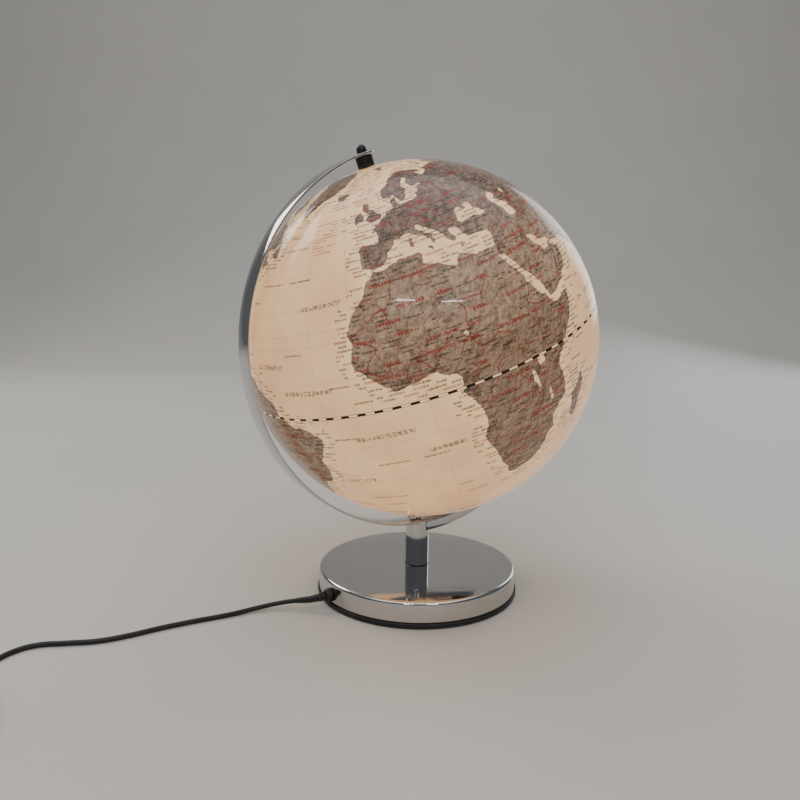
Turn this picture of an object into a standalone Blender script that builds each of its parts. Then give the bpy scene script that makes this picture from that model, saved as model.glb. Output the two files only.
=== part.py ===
"""Illuminated desktop globe: a 300 mm globe on a steel arc, a short stem and a round base.

Frame: metres, +Z up. The origin is on the table, under the stem's axis. The arc lies in the
XZ plane and passes the globe on its -X side, and the globe's axis leans towards -X at the top.
"""
import math

import bmesh
import bpy
from mathutils import Matrix, Vector

# ---- driving dimensions (metres, degrees) -------------------------------------------------
CLEAR = 0.0003              # gap between pieces that touch
SLIP = 0.0003               # radial play of a pin in its bore

GLOBE_RADIUS = 0.150
GLOBE_WALL = 0.0018
AXIS_TILT = math.radians(21.5)

ARC_GAP = 0.0099            # globe to the arc's inner face
ARC_THICK = 0.0017
ARC_WIDTH = 0.018
SEAT_SCREW_R = 0.0015
SEAT_HEAD_R = 0.00275
SEAT_HEAD_H = 0.0020

DUCT_WALL = 0.0011          # lead cover under the arc, from the stem to the south pivot
DUCT_DEPTH_STEM = 0.0074
DUCT_DEPTH_POLE = 0.0060

STEM_RADIUS = 0.0105
STEM_WALL = 0.0020
STEM_HEIGHT = 0.039         # base top to the arc's outer face

BASE_RADIUS = 0.088
BASE_HEIGHT = 0.022
BASE_SKIN = 0.0015
BASE_EDGE = 0.0030          # rounding of the base's top edge
RING_HEIGHT = 0.0044
RING_PROUD = 0.0012
WEIGHT_HOLE = 0.013
PLATE_SCREW_RADIUS = 0.060  # circle that the three bottom screws stand on

GLAND_HEIGHT = 0.0110
GLAND_RADIUS = 0.00575
GLAND_PROUD = 0.0060
GLAND_SPIGOT = 0.0040

PIN_RADIUS = 0.0030
PIN_THREAD = 0.0025
CAP_NUT_RADIUS = 0.00425
CAP_NUT_HEIGHT = 0.0065
NORTH_BUSH_RADIUS = 0.00685
NIPPLE_RADIUS = 0.0050
NIPPLE_BORE = 0.0032
NIPPLE_FLANGE = 0.0075
SOUTH_BUSH_RADIUS = 0.0096

HOLDER_RADIUS = 0.014
HOLDER_WALL = 0.0016
HOLDER_FOOT = 0.117         # distance of the lamp holder's foot below the globe's centre
BULB_RADIUS = 0.0225

LEAD_RADIUS = 0.0015        # sleeved pair inside the stand
CORD_RADIUS = 0.0019        # round mains cord outside

STEM_SPIGOT = 0.0050        # threaded spigot of the foot plug
STEM_SPIGOT_BORE = 0.0035
STEM_FOOT_LENGTH = 0.008
STEM_HEAD_LENGTH = 0.012
PAD_HIGH = 0.0012
PLATE_LOW = 0.0015
PLATE_HIGH = 0.0035
WEIGHT_LOW = 0.0059
WASHER_TOP = 0.0160
WASHER_THICK = 0.0015
STEM_NUT_HEIGHT = 0.005
LEAD_BEND = 0.006
GLAND_NUT_ACROSS = 0.012
FLANGE_THICK = 0.0008

SWITCH_LENGTH = 0.058
SWITCH_WIDTH = 0.024
SWITCH_HEIGHT = 0.0155
ROCKER_LENGTH = 0.0130
ROCKER_WIDTH = 0.0090
ROCKER_TILT = math.radians(8.0)     # the rocker rests tipped to its off side
PLUG_LENGTH = 0.036
PLUG_WIDTH = 0.035
PLUG_HEIGHT = 0.0135
PLUG_PIN_RADIUS = 0.0020
PLUG_PIN_LENGTH = 0.019
PLUG_PIN_SPACING = 0.0186

# Route of the cord outside the base, point by point, up to the coil (metres).
CORD_TO_SWITCH = [
    (-0.0943, 0.0000, 0.0110), (-0.0990, 0.0004, 0.0107), (-0.1052, 0.0034, 0.0094),
    (-0.1145, 0.0120, 0.0072), (-0.1250, 0.0190, 0.0052), (-0.1420, 0.0245, 0.0030),
    (-0.1668, 0.0266, 0.0020), (-0.1940, 0.0300, 0.0020), (-0.2200, 0.0320, 0.0020),
    (-0.2440, 0.0322, 0.0020), (-0.2650, 0.0350, 0.0020), (-0.2870, 0.0445, 0.0020),
    (-0.3050, 0.0520, 0.0020), (-0.3180, 0.0510, 0.0020), (-0.3310, 0.0435, 0.0020),
    (-0.3430, 0.0300, 0.0026), (-0.3512, 0.0150, 0.0052), (-0.3545, -0.0007, 0.0077),
]
SWITCH_PLACE = (-0.3545, -0.0300)   # centre of the in-line switch on the table
CORD_TO_COIL = [
    (-0.3545, -0.0593, 0.0077), (-0.3554, -0.0668, 0.0058), (-0.3592, -0.0742, 0.0036),
    (-0.3663, -0.0794, 0.0023), (-0.3745, -0.0811, 0.0021), (-0.3820, -0.0813, 0.0021),
]
COIL_PLACE = (-0.3970, -0.0560)     # centre of the coil on the table
COIL_MID_RADIUS = 0.0215
COIL_HALF = 0.0060                  # half the width of the wound bundle
COIL_HEIGHT = 0.0156
CORD_TO_PLUG = [
    (-0.4185, -0.0364, 0.0135), (-0.4185, -0.0290, 0.0123), (-0.4185, -0.0190, 0.0087),
    (-0.4185, -0.0103, 0.0070),
]
PLUG_PLACE = (-0.4185, 0.0080)      # centre of the plug's body on the table

# ---- sizes that follow --------------------------------------------------------------------
ARC_INNER = GLOBE_RADIUS + ARC_GAP
ARC_OUTER = ARC_INNER + ARC_THICK
GLOBE_HEIGHT = BASE_HEIGHT + STEM_HEIGHT + ARC_OUTER
GLOBE_INNER = GLOBE_RADIUS - GLOBE_WALL
GLOBE_CENTRE = Vector((0.0, 0.0, GLOBE_HEIGHT))
AXIS_FRAME = Matrix.Translation(GLOBE_CENTRE) @ Matrix.Rotation(-AXIS_TILT, 4, 'Y')
NORTH_ANGLE = math.pi / 2 + AXIS_TILT       # angles in the XZ plane, from +X towards +Z
SOUTH_ANGLE = NORTH_ANGLE + math.pi
STEM_ANGLE = 1.5 * math.pi
LEAD_LOW = PLATE_HIGH + LEAD_RADIUS + 0.0003
STEM_IN = STEM_RADIUS - STEM_WALL
LEAD_OFFSET = STEM_IN - LEAD_RADIUS - 0.0012    # the lead's place beside the head plug
PLUG_FLAT = LEAD_OFFSET - LEAD_RADIUS - 0.0009
DUCT_HALF = ARC_WIDTH / 2 + CLEAR + 0.0001 + DUCT_WALL
LEAD_ORBIT_STEM = ARC_OUTER + 0.0030            # the lead's radius in the duct
LEAD_ORBIT_POLE = ARC_OUTER + 0.00295
ROUND = 32                                  # steps of a turned piece

ARC_SEAT_TOP = GLOBE_HEIGHT - ARC_OUTER       # height of the arc's outer face over the stem
SEAT_SCREW_NEAR = PLUG_FLAT - 0.0024
SEAT_SCREW_FAR = SEAT_SCREW_NEAR - 2 * SEAT_HEAD_R - 0.0007
SEAT_SCREW_PLACES = (SEAT_SCREW_FAR, SEAT_SCREW_NEAR)

parts = None
cutters = None
seat_tools = []


# ---- modelling helpers --------------------------------------------------------------------
def look(name, colour, roughness, metallic=0.0):
    """A plain Principled material."""
    material = bpy.data.materials.new(name)
    material.use_nodes = True
    shader = material.node_tree.nodes["Principled BSDF"]
    shader.inputs["Base Color"].default_value = (*colour, 1.0)
    shader.inputs["Roughness"].default_value = roughness
    shader.inputs["Metallic"].default_value = metallic
    material.diffuse_color = (*colour, 1.0)
    return material


def add_part(name, data, finish, frame=Matrix()):
    """Link a mesh or curve as a sub-part named after its node."""
    obj = bpy.data.objects.new(name, data)
    data.materials.append(finish)
    obj.matrix_world = frame
    parts.objects.link(obj)
    return obj


def add_cutter(name, mesh, frame=Matrix()):
    """Link a mesh as a cutter, which is never part of the model."""
    obj = bpy.data.objects.new(name, mesh)
    obj.matrix_world = frame
    obj.hide_render = True
    obj.display_type = 'WIRE'
    cutters.objects.link(obj)
    return obj


def cut(obj, *tools):
    """Cut each tool out of a piece."""
    for tool in tools:
        boolean = obj.modifiers.new("cut " + tool.name, 'BOOLEAN')
        boolean.operation = 'DIFFERENCE'
        boolean.solver = 'EXACT'
        boolean.object = tool
    return obj


def box_mesh(name, low, high, bevel=0.0):
    """A box between two corners, with rounded edges if it has a bevel."""
    bm = bmesh.new()
    bmesh.ops.create_cube(bm, size=1.0)
    size = Vector(high) - Vector(low)
    middle = (Vector(high) + Vector(low)) / 2
    bmesh.ops.scale(bm, vec=size, verts=bm.verts)
    bmesh.ops.translate(bm, vec=middle, verts=bm.verts)
    if bevel > 0.0:
        bmesh.ops.bevel(bm, geom=bm.edges[:], offset=bevel, segments=2, profile=0.5, affect='EDGES')
    mesh = bpy.data.meshes.new(name)
    bm.to_mesh(mesh)
    bm.free()
    return mesh


def rod_mesh(name, radius, low, high, sides=20):
    """A round or many-sided rod along local Z."""
    bm = bmesh.new()
    bmesh.ops.create_cone(bm, cap_ends=True, segments=sides, radius1=radius, radius2=radius,
                          depth=high - low)
    bmesh.ops.translate(bm, vec=(0.0, 0.0, (low + high) / 2), verts=bm.verts)
    mesh = bpy.data.meshes.new(name)
    bm.to_mesh(mesh)
    bm.free()
    return mesh


def turned(name, profile, finish, frame=Matrix(), steps=ROUND):
    """A turned piece: the profile runs down its outer side, and closes unless it ends on the axis."""
    last = len(profile) - 1
    edges = [(i, i + 1) for i in range(last)]
    if profile[0][0] > 0.0:
        edges.append((last, 0))
    mesh = bpy.data.meshes.new(name)
    mesh.from_pydata([(radius, 0.0, height) for radius, height in profile], edges, [])
    obj = add_part(name, mesh, finish, frame)
    screw = obj.modifiers.new("turn", 'SCREW')
    screw.axis = 'Z'
    screw.angle = 2 * math.pi
    screw.steps = steps
    screw.render_steps = steps
    screw.use_merge_vertices = True
    screw.merge_threshold = 0.00001
    return obj


def hex_nut(name, across, low, high, bore, finish, frame=Matrix()):
    """A hexagon nut with a plain bore along local Z."""
    corner = across / math.sqrt(3)
    obj = add_part(name, rod_mesh(name, corner, low, high, sides=6), finish, frame)
    hole = add_cutter(name + " bore", rod_mesh(name + " bore", bore, low - 0.001, high + 0.001), frame)
    return cut(obj, hole)


def tube(name, points, radius, finish):
    """A round cord or wire along a chain of points, with flat ends."""
    curve = bpy.data.curves.new(name, 'CURVE')
    curve.dimensions = '3D'
    curve.bevel_depth = radius
    curve.bevel_resolution = 2
    curve.use_fill_caps = True
    spline = curve.splines.new('POLY')
    spline.points.add(len(points) - 1)
    for place, point in zip(spline.points, points):
        place.co = (*point, 1.0)
    return add_part(name, curve, finish)


def smooth_route(points, spacing):
    """Points every so often along a smooth curve through the given points."""
    nodes = [Vector(point) for point in points]
    nodes = [2 * nodes[0] - nodes[1]] + nodes + [2 * nodes[-1] - nodes[-2]]
    fine = []
    for a, b, c, d in zip(nodes, nodes[1:], nodes[2:], nodes[3:]):
        for step in range(12):
            t = step / 12
            fine.append(0.5 * (2 * b + (c - a) * t + (2 * a - 5 * b + 4 * c - d) * t ** 2
                               + (3 * b - a - 3 * c + d) * t ** 3))
    fine.append(nodes[-2])
    lengths = [0.0]
    for a, b in zip(fine, fine[1:]):
        lengths.append(lengths[-1] + (b - a).length)
    count = max(2, round(lengths[-1] / spacing))
    route = []
    index = 0
    for step in range(count + 1):
        target = lengths[-1] * step / count
        while index < len(fine) - 2 and lengths[index + 1] < target:
            index += 1
        share = (target - lengths[index]) / (lengths[index + 1] - lengths[index])
        route.append(fine[index].lerp(fine[index + 1], min(1.0, share)))
    return route


def sphere_height(radius, out):
    """Height of a sphere's surface above its centre, at a distance out from the axis."""
    return math.sqrt(radius ** 2 - out ** 2)


def round_run(centre, radius, start, end, count):
    """Points of an arc in the XZ plane, as (x, z), between two angles."""
    run = []
    for step in range(count + 1):
        angle = start + (end - start) * step / count
        run.append((centre[0] + radius * math.cos(angle), centre[1] + radius * math.sin(angle)))
    return run


def axis_point(out, along):
    """World (x, z) of a point beside the globe's axis: out from it, and along it from the centre."""
    point = AXIS_FRAME @ Vector((out, 0.0, along))
    return (point.x, point.z)


# ---- base ---------------------------------------------------------------------------------
def side_frame(height):
    """A frame whose local Z runs out of the base towards -X at a height."""
    return Matrix.Translation((0.0, 0.0, height)) @ Matrix.Rotation(-math.pi / 2, 4, 'Y')


def spun_shell(spigot_hole):
    """Profile of the base's spun steel shell, with its rounded top edge."""
    outer = [(spigot_hole, BASE_HEIGHT)]
    outer += round_run((BASE_RADIUS - BASE_EDGE, BASE_HEIGHT - BASE_EDGE), BASE_EDGE,
                       math.pi / 2, 0.0, 4)
    bottom = RING_HEIGHT + CLEAR
    outer += [(BASE_RADIUS, bottom), (BASE_RADIUS - BASE_SKIN, bottom)]
    inner_edge = BASE_EDGE - BASE_SKIN
    outer += round_run((BASE_RADIUS - BASE_EDGE, BASE_HEIGHT - BASE_EDGE), inner_edge,
                       0.0, math.pi / 2, 2)
    outer.append((spigot_hole, BASE_HEIGHT - BASE_SKIN))
    return outer


def make_base(chrome, iron, black, felt, zinc):
    """Shell, weight, ring, bottom plate, pad and the screws that hold them."""
    spigot_hole = STEM_SPIGOT + SLIP + 0.0001
    wall_in = BASE_RADIUS - BASE_SKIN
    gland_way = add_cutter("gland way", rod_mesh("gland way", GLAND_SPIGOT + SLIP,
                                                 BASE_RADIUS - 0.012, BASE_RADIUS + 0.004),
                           side_frame(GLAND_HEIGHT))
    shell = turned("base_shell", spun_shell(spigot_hole), chrome, steps=40)
    cut(shell, gland_way)

    lip_in = BASE_RADIUS - 0.012
    lip_out = wall_in - CLEAR
    seat_in = BASE_RADIUS - 0.008
    ring_out = BASE_RADIUS + RING_PROUD
    lip_top = WEIGHT_LOW - CLEAR
    ring = turned("base_ring", [
        (lip_in, lip_top), (lip_out, lip_top), (lip_out, RING_HEIGHT),
        (ring_out - 0.0008, RING_HEIGHT), (ring_out, RING_HEIGHT - 0.0008), (ring_out, 0.0006),
        (ring_out - 0.0006, 0.0), (seat_in, 0.0), (seat_in, PLATE_HIGH + CLEAR),
        (lip_in, PLATE_HIGH + CLEAR)], black, steps=40)
    notch_half = GLAND_NUT_ACROSS / 2 + 0.003
    cut(ring, add_cutter("gland notch", box_mesh(
        "gland notch", (-BASE_RADIUS + 0.001, -notch_half, PLATE_HIGH + 0.001),
        (-lip_in + 0.002, notch_half, lip_top + 0.002))))

    turned_pad = [(0.0, PAD_HIGH), (seat_in - 0.002, PAD_HIGH), (seat_in - 0.002, 0.0), (0.0, 0.0)]
    turned("base_pad", turned_pad, felt, steps=32)

    plate_out = seat_in - CLEAR
    plate = turned("bottom_plate", [
        (0.0, PLATE_HIGH), (plate_out, PLATE_HIGH), (plate_out, PLATE_LOW), (0.0, PLATE_LOW)],
        black, steps=32)

    weight_out = wall_in - 0.001
    weight_top = BASE_HEIGHT - BASE_SKIN - CLEAR
    weight = turned("base_weight", [
        (spigot_hole, weight_top), (weight_out - 0.002, weight_top),
        (weight_out, weight_top - 0.002), (weight_out, WEIGHT_LOW),
        (WEIGHT_HOLE, WEIGHT_LOW), (WEIGHT_HOLE, WASHER_TOP + CLEAR),
        (spigot_hole, WASHER_TOP + CLEAR)], iron, steps=32)
    lead_way = box_mesh("lead way", (-BASE_RADIUS + 0.012, -0.003, WEIGHT_LOW - 0.002),
                        (-WEIGHT_HOLE + 0.003, 0.003, GLAND_HEIGHT + 0.003))
    pocket = box_mesh("gland pocket", (-BASE_RADIUS - 0.002, -notch_half, WEIGHT_LOW - 0.002),
                      (-BASE_RADIUS + 0.014, notch_half, GLAND_HEIGHT + 0.0085))
    cut(weight, add_cutter("lead way", lead_way), add_cutter("gland pocket", pocket))

    for number in range(3):
        angle = math.radians(120 * number)
        spot = Matrix.Translation((PLATE_SCREW_RADIUS * math.cos(angle),
                                   PLATE_SCREW_RADIUS * math.sin(angle), 0.0))
        label = str(number + 1)
        sink = rod_mesh("screw head way " + label, 0.0042, PLATE_LOW - 0.001, PLATE_LOW + 0.0011)
        way = rod_mesh("screw way " + label, 0.0023, PLATE_LOW - 0.001, 0.0140)
        way_tool = add_cutter("screw way " + label, way, spot)
        cut(plate, add_cutter("screw head way " + label, sink, spot), way_tool)
        cut(weight, way_tool)
        turned("plate_screw_" + label, [
            (0.0, 0.0120), (0.0020, 0.0120), (0.0020, PLATE_LOW + 0.0008),
            (0.0038, PLATE_LOW + 0.0008), (0.0038, PLATE_LOW + 0.0001), (0.0, PLATE_LOW + 0.0001)],
            zinc, spot, steps=16)


def make_gland(black):
    """Cord gland through the side of the base, and the nut behind it."""
    wall = BASE_RADIUS + CLEAR
    tip = BASE_RADIUS + GLAND_PROUD
    bore = CORD_RADIUS + SLIP
    back = BASE_RADIUS - 0.008
    turned("cord_gland", [
        (bore, tip), (GLAND_RADIUS - 0.0012, tip), (GLAND_RADIUS, tip - 0.0012),
        (GLAND_RADIUS, wall), (GLAND_SPIGOT, wall), (GLAND_SPIGOT, back), (bore, back)],
        black, side_frame(GLAND_HEIGHT), steps=24)
    hex_nut("gland_nut", GLAND_NUT_ACROSS, BASE_RADIUS - 0.0055, BASE_RADIUS - BASE_SKIN - 0.0006,
            GLAND_SPIGOT + SLIP, black, side_frame(GLAND_HEIGHT))


# ---- stem ---------------------------------------------------------------------------------
def make_stem(chrome, brass, zinc):
    """Stem tube, its foot and head plugs, and the nut under the base."""
    top = GLOBE_HEIGHT - ARC_INNER + CLEAR
    foot = BASE_HEIGHT + CLEAR
    stem = turned("stem_tube", [
        (STEM_IN, top), (STEM_RADIUS, top), (STEM_RADIUS, foot), (STEM_IN, foot)], chrome, steps=40)
    slot_half = ARC_WIDTH / 2 + CLEAR
    slot = add_cutter("arc slot", box_mesh(
        "arc slot", (-2 * STEM_RADIUS, -slot_half, ARC_SEAT_TOP - CLEAR),
        (2 * STEM_RADIUS, slot_half, top + 0.004)))
    lead_door = add_cutter("lead door", box_mesh(
        "lead door", (STEM_IN - 0.003, -0.0024, GLOBE_HEIGHT - LEAD_ORBIT_STEM - 0.0028),
        (STEM_RADIUS + 0.003, 0.0024, top + 0.004)))
    cut(stem, slot, lead_door)

    plug_radius = STEM_IN - SLIP
    foot_top = foot + STEM_FOOT_LENGTH
    turned("stem_foot_plug", [
        (STEM_SPIGOT_BORE, foot_top), (plug_radius, foot_top), (plug_radius, foot),
        (STEM_SPIGOT, foot), (STEM_SPIGOT, 0.0080), (STEM_SPIGOT_BORE, 0.0080)], brass, steps=24)
    turned("stem_washer", [
        (STEM_SPIGOT + SLIP, WASHER_TOP), (WEIGHT_HOLE - 0.002, WASHER_TOP),
        (WEIGHT_HOLE - 0.002, WASHER_TOP - WASHER_THICK),
        (STEM_SPIGOT + SLIP, WASHER_TOP - WASHER_THICK)], zinc, steps=20)
    nut_top = WASHER_TOP - WASHER_THICK - CLEAR
    hex_nut("stem_nut", 0.017, nut_top - STEM_NUT_HEIGHT, nut_top, STEM_SPIGOT + SLIP, zinc)

    plug_top = ARC_SEAT_TOP - 2 * CLEAR
    head = turned("stem_head_plug", [
        (0.0, plug_top), (plug_radius, plug_top), (plug_radius, plug_top - STEM_HEAD_LENGTH),
        (0.0, plug_top - STEM_HEAD_LENGTH)], brass, steps=28)
    flat = add_cutter("head plug flat", box_mesh(
        "head plug flat", (PLUG_FLAT, -2 * STEM_RADIUS, plug_top - STEM_HEAD_LENGTH - 0.001),
        (2 * STEM_RADIUS, 2 * STEM_RADIUS, plug_top + 0.001)))
    cut(head, flat)
    for number, place in enumerate(SEAT_SCREW_PLACES):
        label = str(number + 1)
        spot = Matrix.Translation((place, 0.0, 0.0))
        way = rod_mesh("seat screw way " + label, SEAT_SCREW_R + SLIP, plug_top - 0.0095,
                       top + 0.003, sides=20)
        way_tool = add_cutter("seat screw way " + label, way, spot)
        cut(head, way_tool)
        seat_tools.append(way_tool)
        under = GLOBE_HEIGHT - sphere_height(ARC_INNER, abs(place) + SEAT_HEAD_R) + CLEAR
        turned("arc_screw_" + label, [
            (0.0, under + SEAT_HEAD_H), (SEAT_HEAD_R - 0.0006, under + SEAT_HEAD_H),
            (SEAT_HEAD_R, under + SEAT_HEAD_H - 0.0006), (SEAT_HEAD_R, under),
            (SEAT_SCREW_R, under), (SEAT_SCREW_R, plug_top - 0.0090), (0.0, plug_top - 0.0090)],
            chrome, spot, steps=20)


# ---- arc and lead cover -------------------------------------------------------------------
def arc_stations(half, start, end, round_start, round_end, radius_of, fine=5):
    """Stations (angle, radius, half width) along a band bent round the globe, ends round or square."""
    turn = ARC_OUTER
    stations = []
    if round_start:
        for step in range(fine):
            swing = math.pi / 2 * step / fine
            stations.append((start - half * math.cos(swing) / turn, half * math.sin(swing)))
    count = math.ceil((end - start) / math.radians(5.0))
    for step in range(count + 1):
        stations.append((start + (end - start) * step / count, half))
    if round_end:
        for step in range(fine):
            swing = math.pi / 2 * (step + 1) / fine
            stations.append((end + half * math.sin(swing) / turn, half * math.cos(swing)))
    return [(angle, radius_of(angle), max(0.0, wide)) for angle, wide in stations]


def arc_place(angle, radius, across):
    """A point on the arc's circle, at an angle and radius in the XZ plane."""
    return GLOBE_CENTRE + Vector((radius * math.cos(angle), across, radius * math.sin(angle)))


def bent_band(name, stations, wall_to=None):
    """An open band through the stations, facing away from the globe; walls rise to wall_to."""
    bm = bmesh.new()
    bmesh.ops.create_grid(bm, x_segments=len(stations) - 1, y_segments=1, size=1.0)
    order = sorted(bm.verts, key=lambda vert: (round(vert.co.x, 5), vert.co.y))
    home = {}
    for index, vert in enumerate(order):
        angle, radius, half = stations[index // 2]
        across = half if index % 2 else -half
        vert.co = arc_place(angle, radius, across)
        home[vert] = (angle, across)
    if wall_to is not None:
        first = set(order[:2])
        rim = [edge for edge in bm.edges if edge.is_boundary and not set(edge.verts) <= first]
        grown = bmesh.ops.extrude_edge_only(bm, edges=rim)["geom"]
        near = {tuple(round(c, 7) for c in vert.co): place for vert, place in home.items()}
        for vert in [item for item in grown if isinstance(item, bmesh.types.BMVert)]:
            angle, across = near[tuple(round(c, 7) for c in vert.co)]
            vert.co = arc_place(angle, wall_to, across)
    bmesh.ops.remove_doubles(bm, verts=bm.verts, dist=0.00001)
    bmesh.ops.recalc_face_normals(bm, faces=bm.faces)
    bm.normal_update()
    widest = max(bm.faces, key=lambda face: face.calc_area())
    if widest.normal.dot(widest.calc_center_median() - GLOBE_CENTRE) < 0.0:
        bmesh.ops.reverse_faces(bm, faces=bm.faces)
    mesh = bpy.data.meshes.new(name)
    bm.to_mesh(mesh)
    bm.free()
    return mesh


def thicken(obj, wall):
    """Give an open surface its wall, on the inner side."""
    solid = obj.modifiers.new("wall", 'SOLIDIFY')
    solid.thickness = wall
    solid.offset = -1.0
    solid.use_even_offset = True


def make_arc(chrome):
    """The polished steel arc, with its round ends and its holes."""
    stations = arc_stations(ARC_WIDTH / 2, NORTH_ANGLE, SOUTH_ANGLE, True, True,
                            lambda angle: ARC_OUTER)
    arc = add_part("meridian_arc", bent_band("meridian_arc", stations), chrome)
    thicken(arc, ARC_THICK)
    north_way = add_cutter("north pin way", rod_mesh(
        "north pin way", PIN_THREAD + SLIP, ARC_INNER - 0.003, ARC_OUTER + 0.003), AXIS_FRAME)
    south_way = add_cutter("nipple way", rod_mesh(
        "nipple way", NIPPLE_RADIUS + SLIP, -ARC_OUTER - 0.003, -ARC_INNER + 0.003), AXIS_FRAME)
    cut(arc, north_way, south_way, *seat_tools)


def make_cover(chrome):
    """Lead cover: a steel tray round the arc's underside and edges, from stem to south pivot."""
    def skin(angle):
        share = (angle - STEM_ANGLE) / (SOUTH_ANGLE - STEM_ANGLE)
        share = min(1.0, max(0.0, share))
        return ARC_OUTER + DUCT_DEPTH_STEM + (DUCT_DEPTH_POLE - DUCT_DEPTH_STEM) * share

    start = STEM_ANGLE + 0.0008 / ARC_OUTER
    stations = arc_stations(DUCT_HALF, start, SOUTH_ANGLE, False, True, skin)
    cover = add_part("arc_cover", bent_band("arc_cover", stations, wall_to=ARC_INNER), chrome)
    thicken(cover, DUCT_WALL)
    stem_way = add_cutter("stem way", rod_mesh(
        "stem way", STEM_RADIUS + CLEAR, BASE_HEIGHT, GLOBE_HEIGHT - ARC_INNER + 0.008, sides=48))
    cut(cover, stem_way)


# ---- pivots -------------------------------------------------------------------------------
def make_pivots(black, zinc, brass):
    """North pin with its cap nut, and the hollow south nipple with its nut."""
    thread_top = ARC_OUTER + 0.0046
    shoulder = ARC_INNER - CLEAR
    low = GLOBE_RADIUS - 0.0075
    turned("north_pin", [
        (0.0, thread_top), (PIN_THREAD, thread_top), (PIN_THREAD, shoulder),
        (PIN_RADIUS, shoulder), (PIN_RADIUS, low), (0.0, low)], zinc, AXIS_FRAME, steps=24)

    nut_low = ARC_OUTER + CLEAR
    nut_top = ARC_OUTER + CAP_NUT_HEIGHT
    dome = [(CAP_NUT_RADIUS * math.sin(math.pi / 2 * step / 6),
             nut_top - 0.0030 + 0.0030 * math.cos(math.pi / 2 * step / 6)) for step in range(7)]
    bore = PIN_THREAD + SLIP
    turned("cap_nut", dome + [
        (CAP_NUT_RADIUS, nut_low), (bore, nut_low), (bore, thread_top + CLEAR),
        (0.0, thread_top + CLEAR)], black, AXIS_FRAME, steps=24)

    nipple_top = -(HOLDER_FOOT - 0.005)
    turned("pivot_nipple", [
        (NIPPLE_BORE, nipple_top), (NIPPLE_RADIUS, nipple_top),
        (NIPPLE_RADIUS, -ARC_OUTER - CLEAR), (NIPPLE_FLANGE, -ARC_OUTER - CLEAR),
        (NIPPLE_FLANGE, -ARC_OUTER - CLEAR - FLANGE_THICK),
        (NIPPLE_BORE, -ARC_OUTER - CLEAR - FLANGE_THICK)], brass, AXIS_FRAME, steps=24)
    hex_nut("pivot_nut", 0.014, -ARC_INNER + CLEAR, -ARC_INNER + CLEAR + 0.003,
            NIPPLE_RADIUS + SLIP, zinc, AXIS_FRAME)


# ---- globe --------------------------------------------------------------------------------
def half_shell(pole_hole, rings=7):
    """Profile of a northern half shell, from its pole hole down to the equator and back inside."""
    seam = CLEAR / 2
    profile = []
    first = math.asin(pole_hole / GLOBE_RADIUS)
    last = math.acos(seam / GLOBE_RADIUS)
    for step in range(rings + 1):
        angle = first + (last - first) * step / rings
        profile.append((GLOBE_RADIUS * math.sin(angle), GLOBE_RADIUS * math.cos(angle)))
    first = math.asin(pole_hole / GLOBE_INNER)
    last = math.acos(seam / GLOBE_INNER)
    for step in range(rings, -1, -1):
        angle = first + (last - first) * step / rings
        profile.append((GLOBE_INNER * math.sin(angle), GLOBE_INNER * math.cos(angle)))
    return profile


def make_globe(shell_look, black):
    """Both half shells, the ring that joins them, and the pole bushes with their lock rings."""
    north_spigot = NORTH_BUSH_RADIUS - 0.00125
    south_spigot = SOUTH_BUSH_RADIUS - 0.0010
    turned("north_shell", half_shell(north_spigot + 0.0004), shell_look, AXIS_FRAME, steps=36)
    upside = AXIS_FRAME @ Matrix.Rotation(math.pi, 4, 'X')
    turned("south_shell", half_shell(south_spigot + 0.0004), shell_look, upside, steps=36)
    ring_out = GLOBE_INNER - 0.0013
    turned("equator_ring", [
        (ring_out - 0.0014, 0.006), (ring_out, 0.006), (ring_out, -0.006),
        (ring_out - 0.0014, -0.006)], shell_look, AXIS_FRAME, steps=36)

    seat = GLOBE_RADIUS + 0.0001
    spigot_end = GLOBE_RADIUS - 0.006
    bore = PIN_RADIUS + SLIP
    top = ARC_INNER - 0.0005
    turned("north_bush", [
        (bore, top), (NORTH_BUSH_RADIUS - 0.0005, top), (NORTH_BUSH_RADIUS, top - 0.0005),
        (NORTH_BUSH_RADIUS, seat), (north_spigot, seat), (north_spigot, spigot_end),
        (bore, spigot_end)], black, AXIS_FRAME, steps=24)
    lock_out = north_spigot + 0.005
    lock_top = sphere_height(GLOBE_INNER, lock_out) - CLEAR - 0.0002
    turned("north_lock_ring", [
        (north_spigot + SLIP, lock_top), (lock_out, lock_top), (lock_out, spigot_end + 0.0004),
        (north_spigot + SLIP, spigot_end + 0.0004)], black, AXIS_FRAME, steps=24)

    bore = NIPPLE_RADIUS + SLIP + 0.0001
    end = GLOBE_RADIUS + 0.0060
    turned("south_bush", [
        (bore, -spigot_end), (south_spigot, -spigot_end), (south_spigot, -seat),
        (SOUTH_BUSH_RADIUS, -seat), (SOUTH_BUSH_RADIUS, -end), (bore, -end)],
        black, AXIS_FRAME, steps=24)
    lock_out = south_spigot + 0.005
    lock_top = sphere_height(GLOBE_INNER, lock_out) - CLEAR - 0.0002
    turned("south_lock_ring", [
        (south_spigot + SLIP, -spigot_end - 0.0004), (lock_out, -spigot_end - 0.0004),
        (lock_out, -lock_top), (south_spigot + SLIP, -lock_top)], black, AXIS_FRAME, steps=24)


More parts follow.
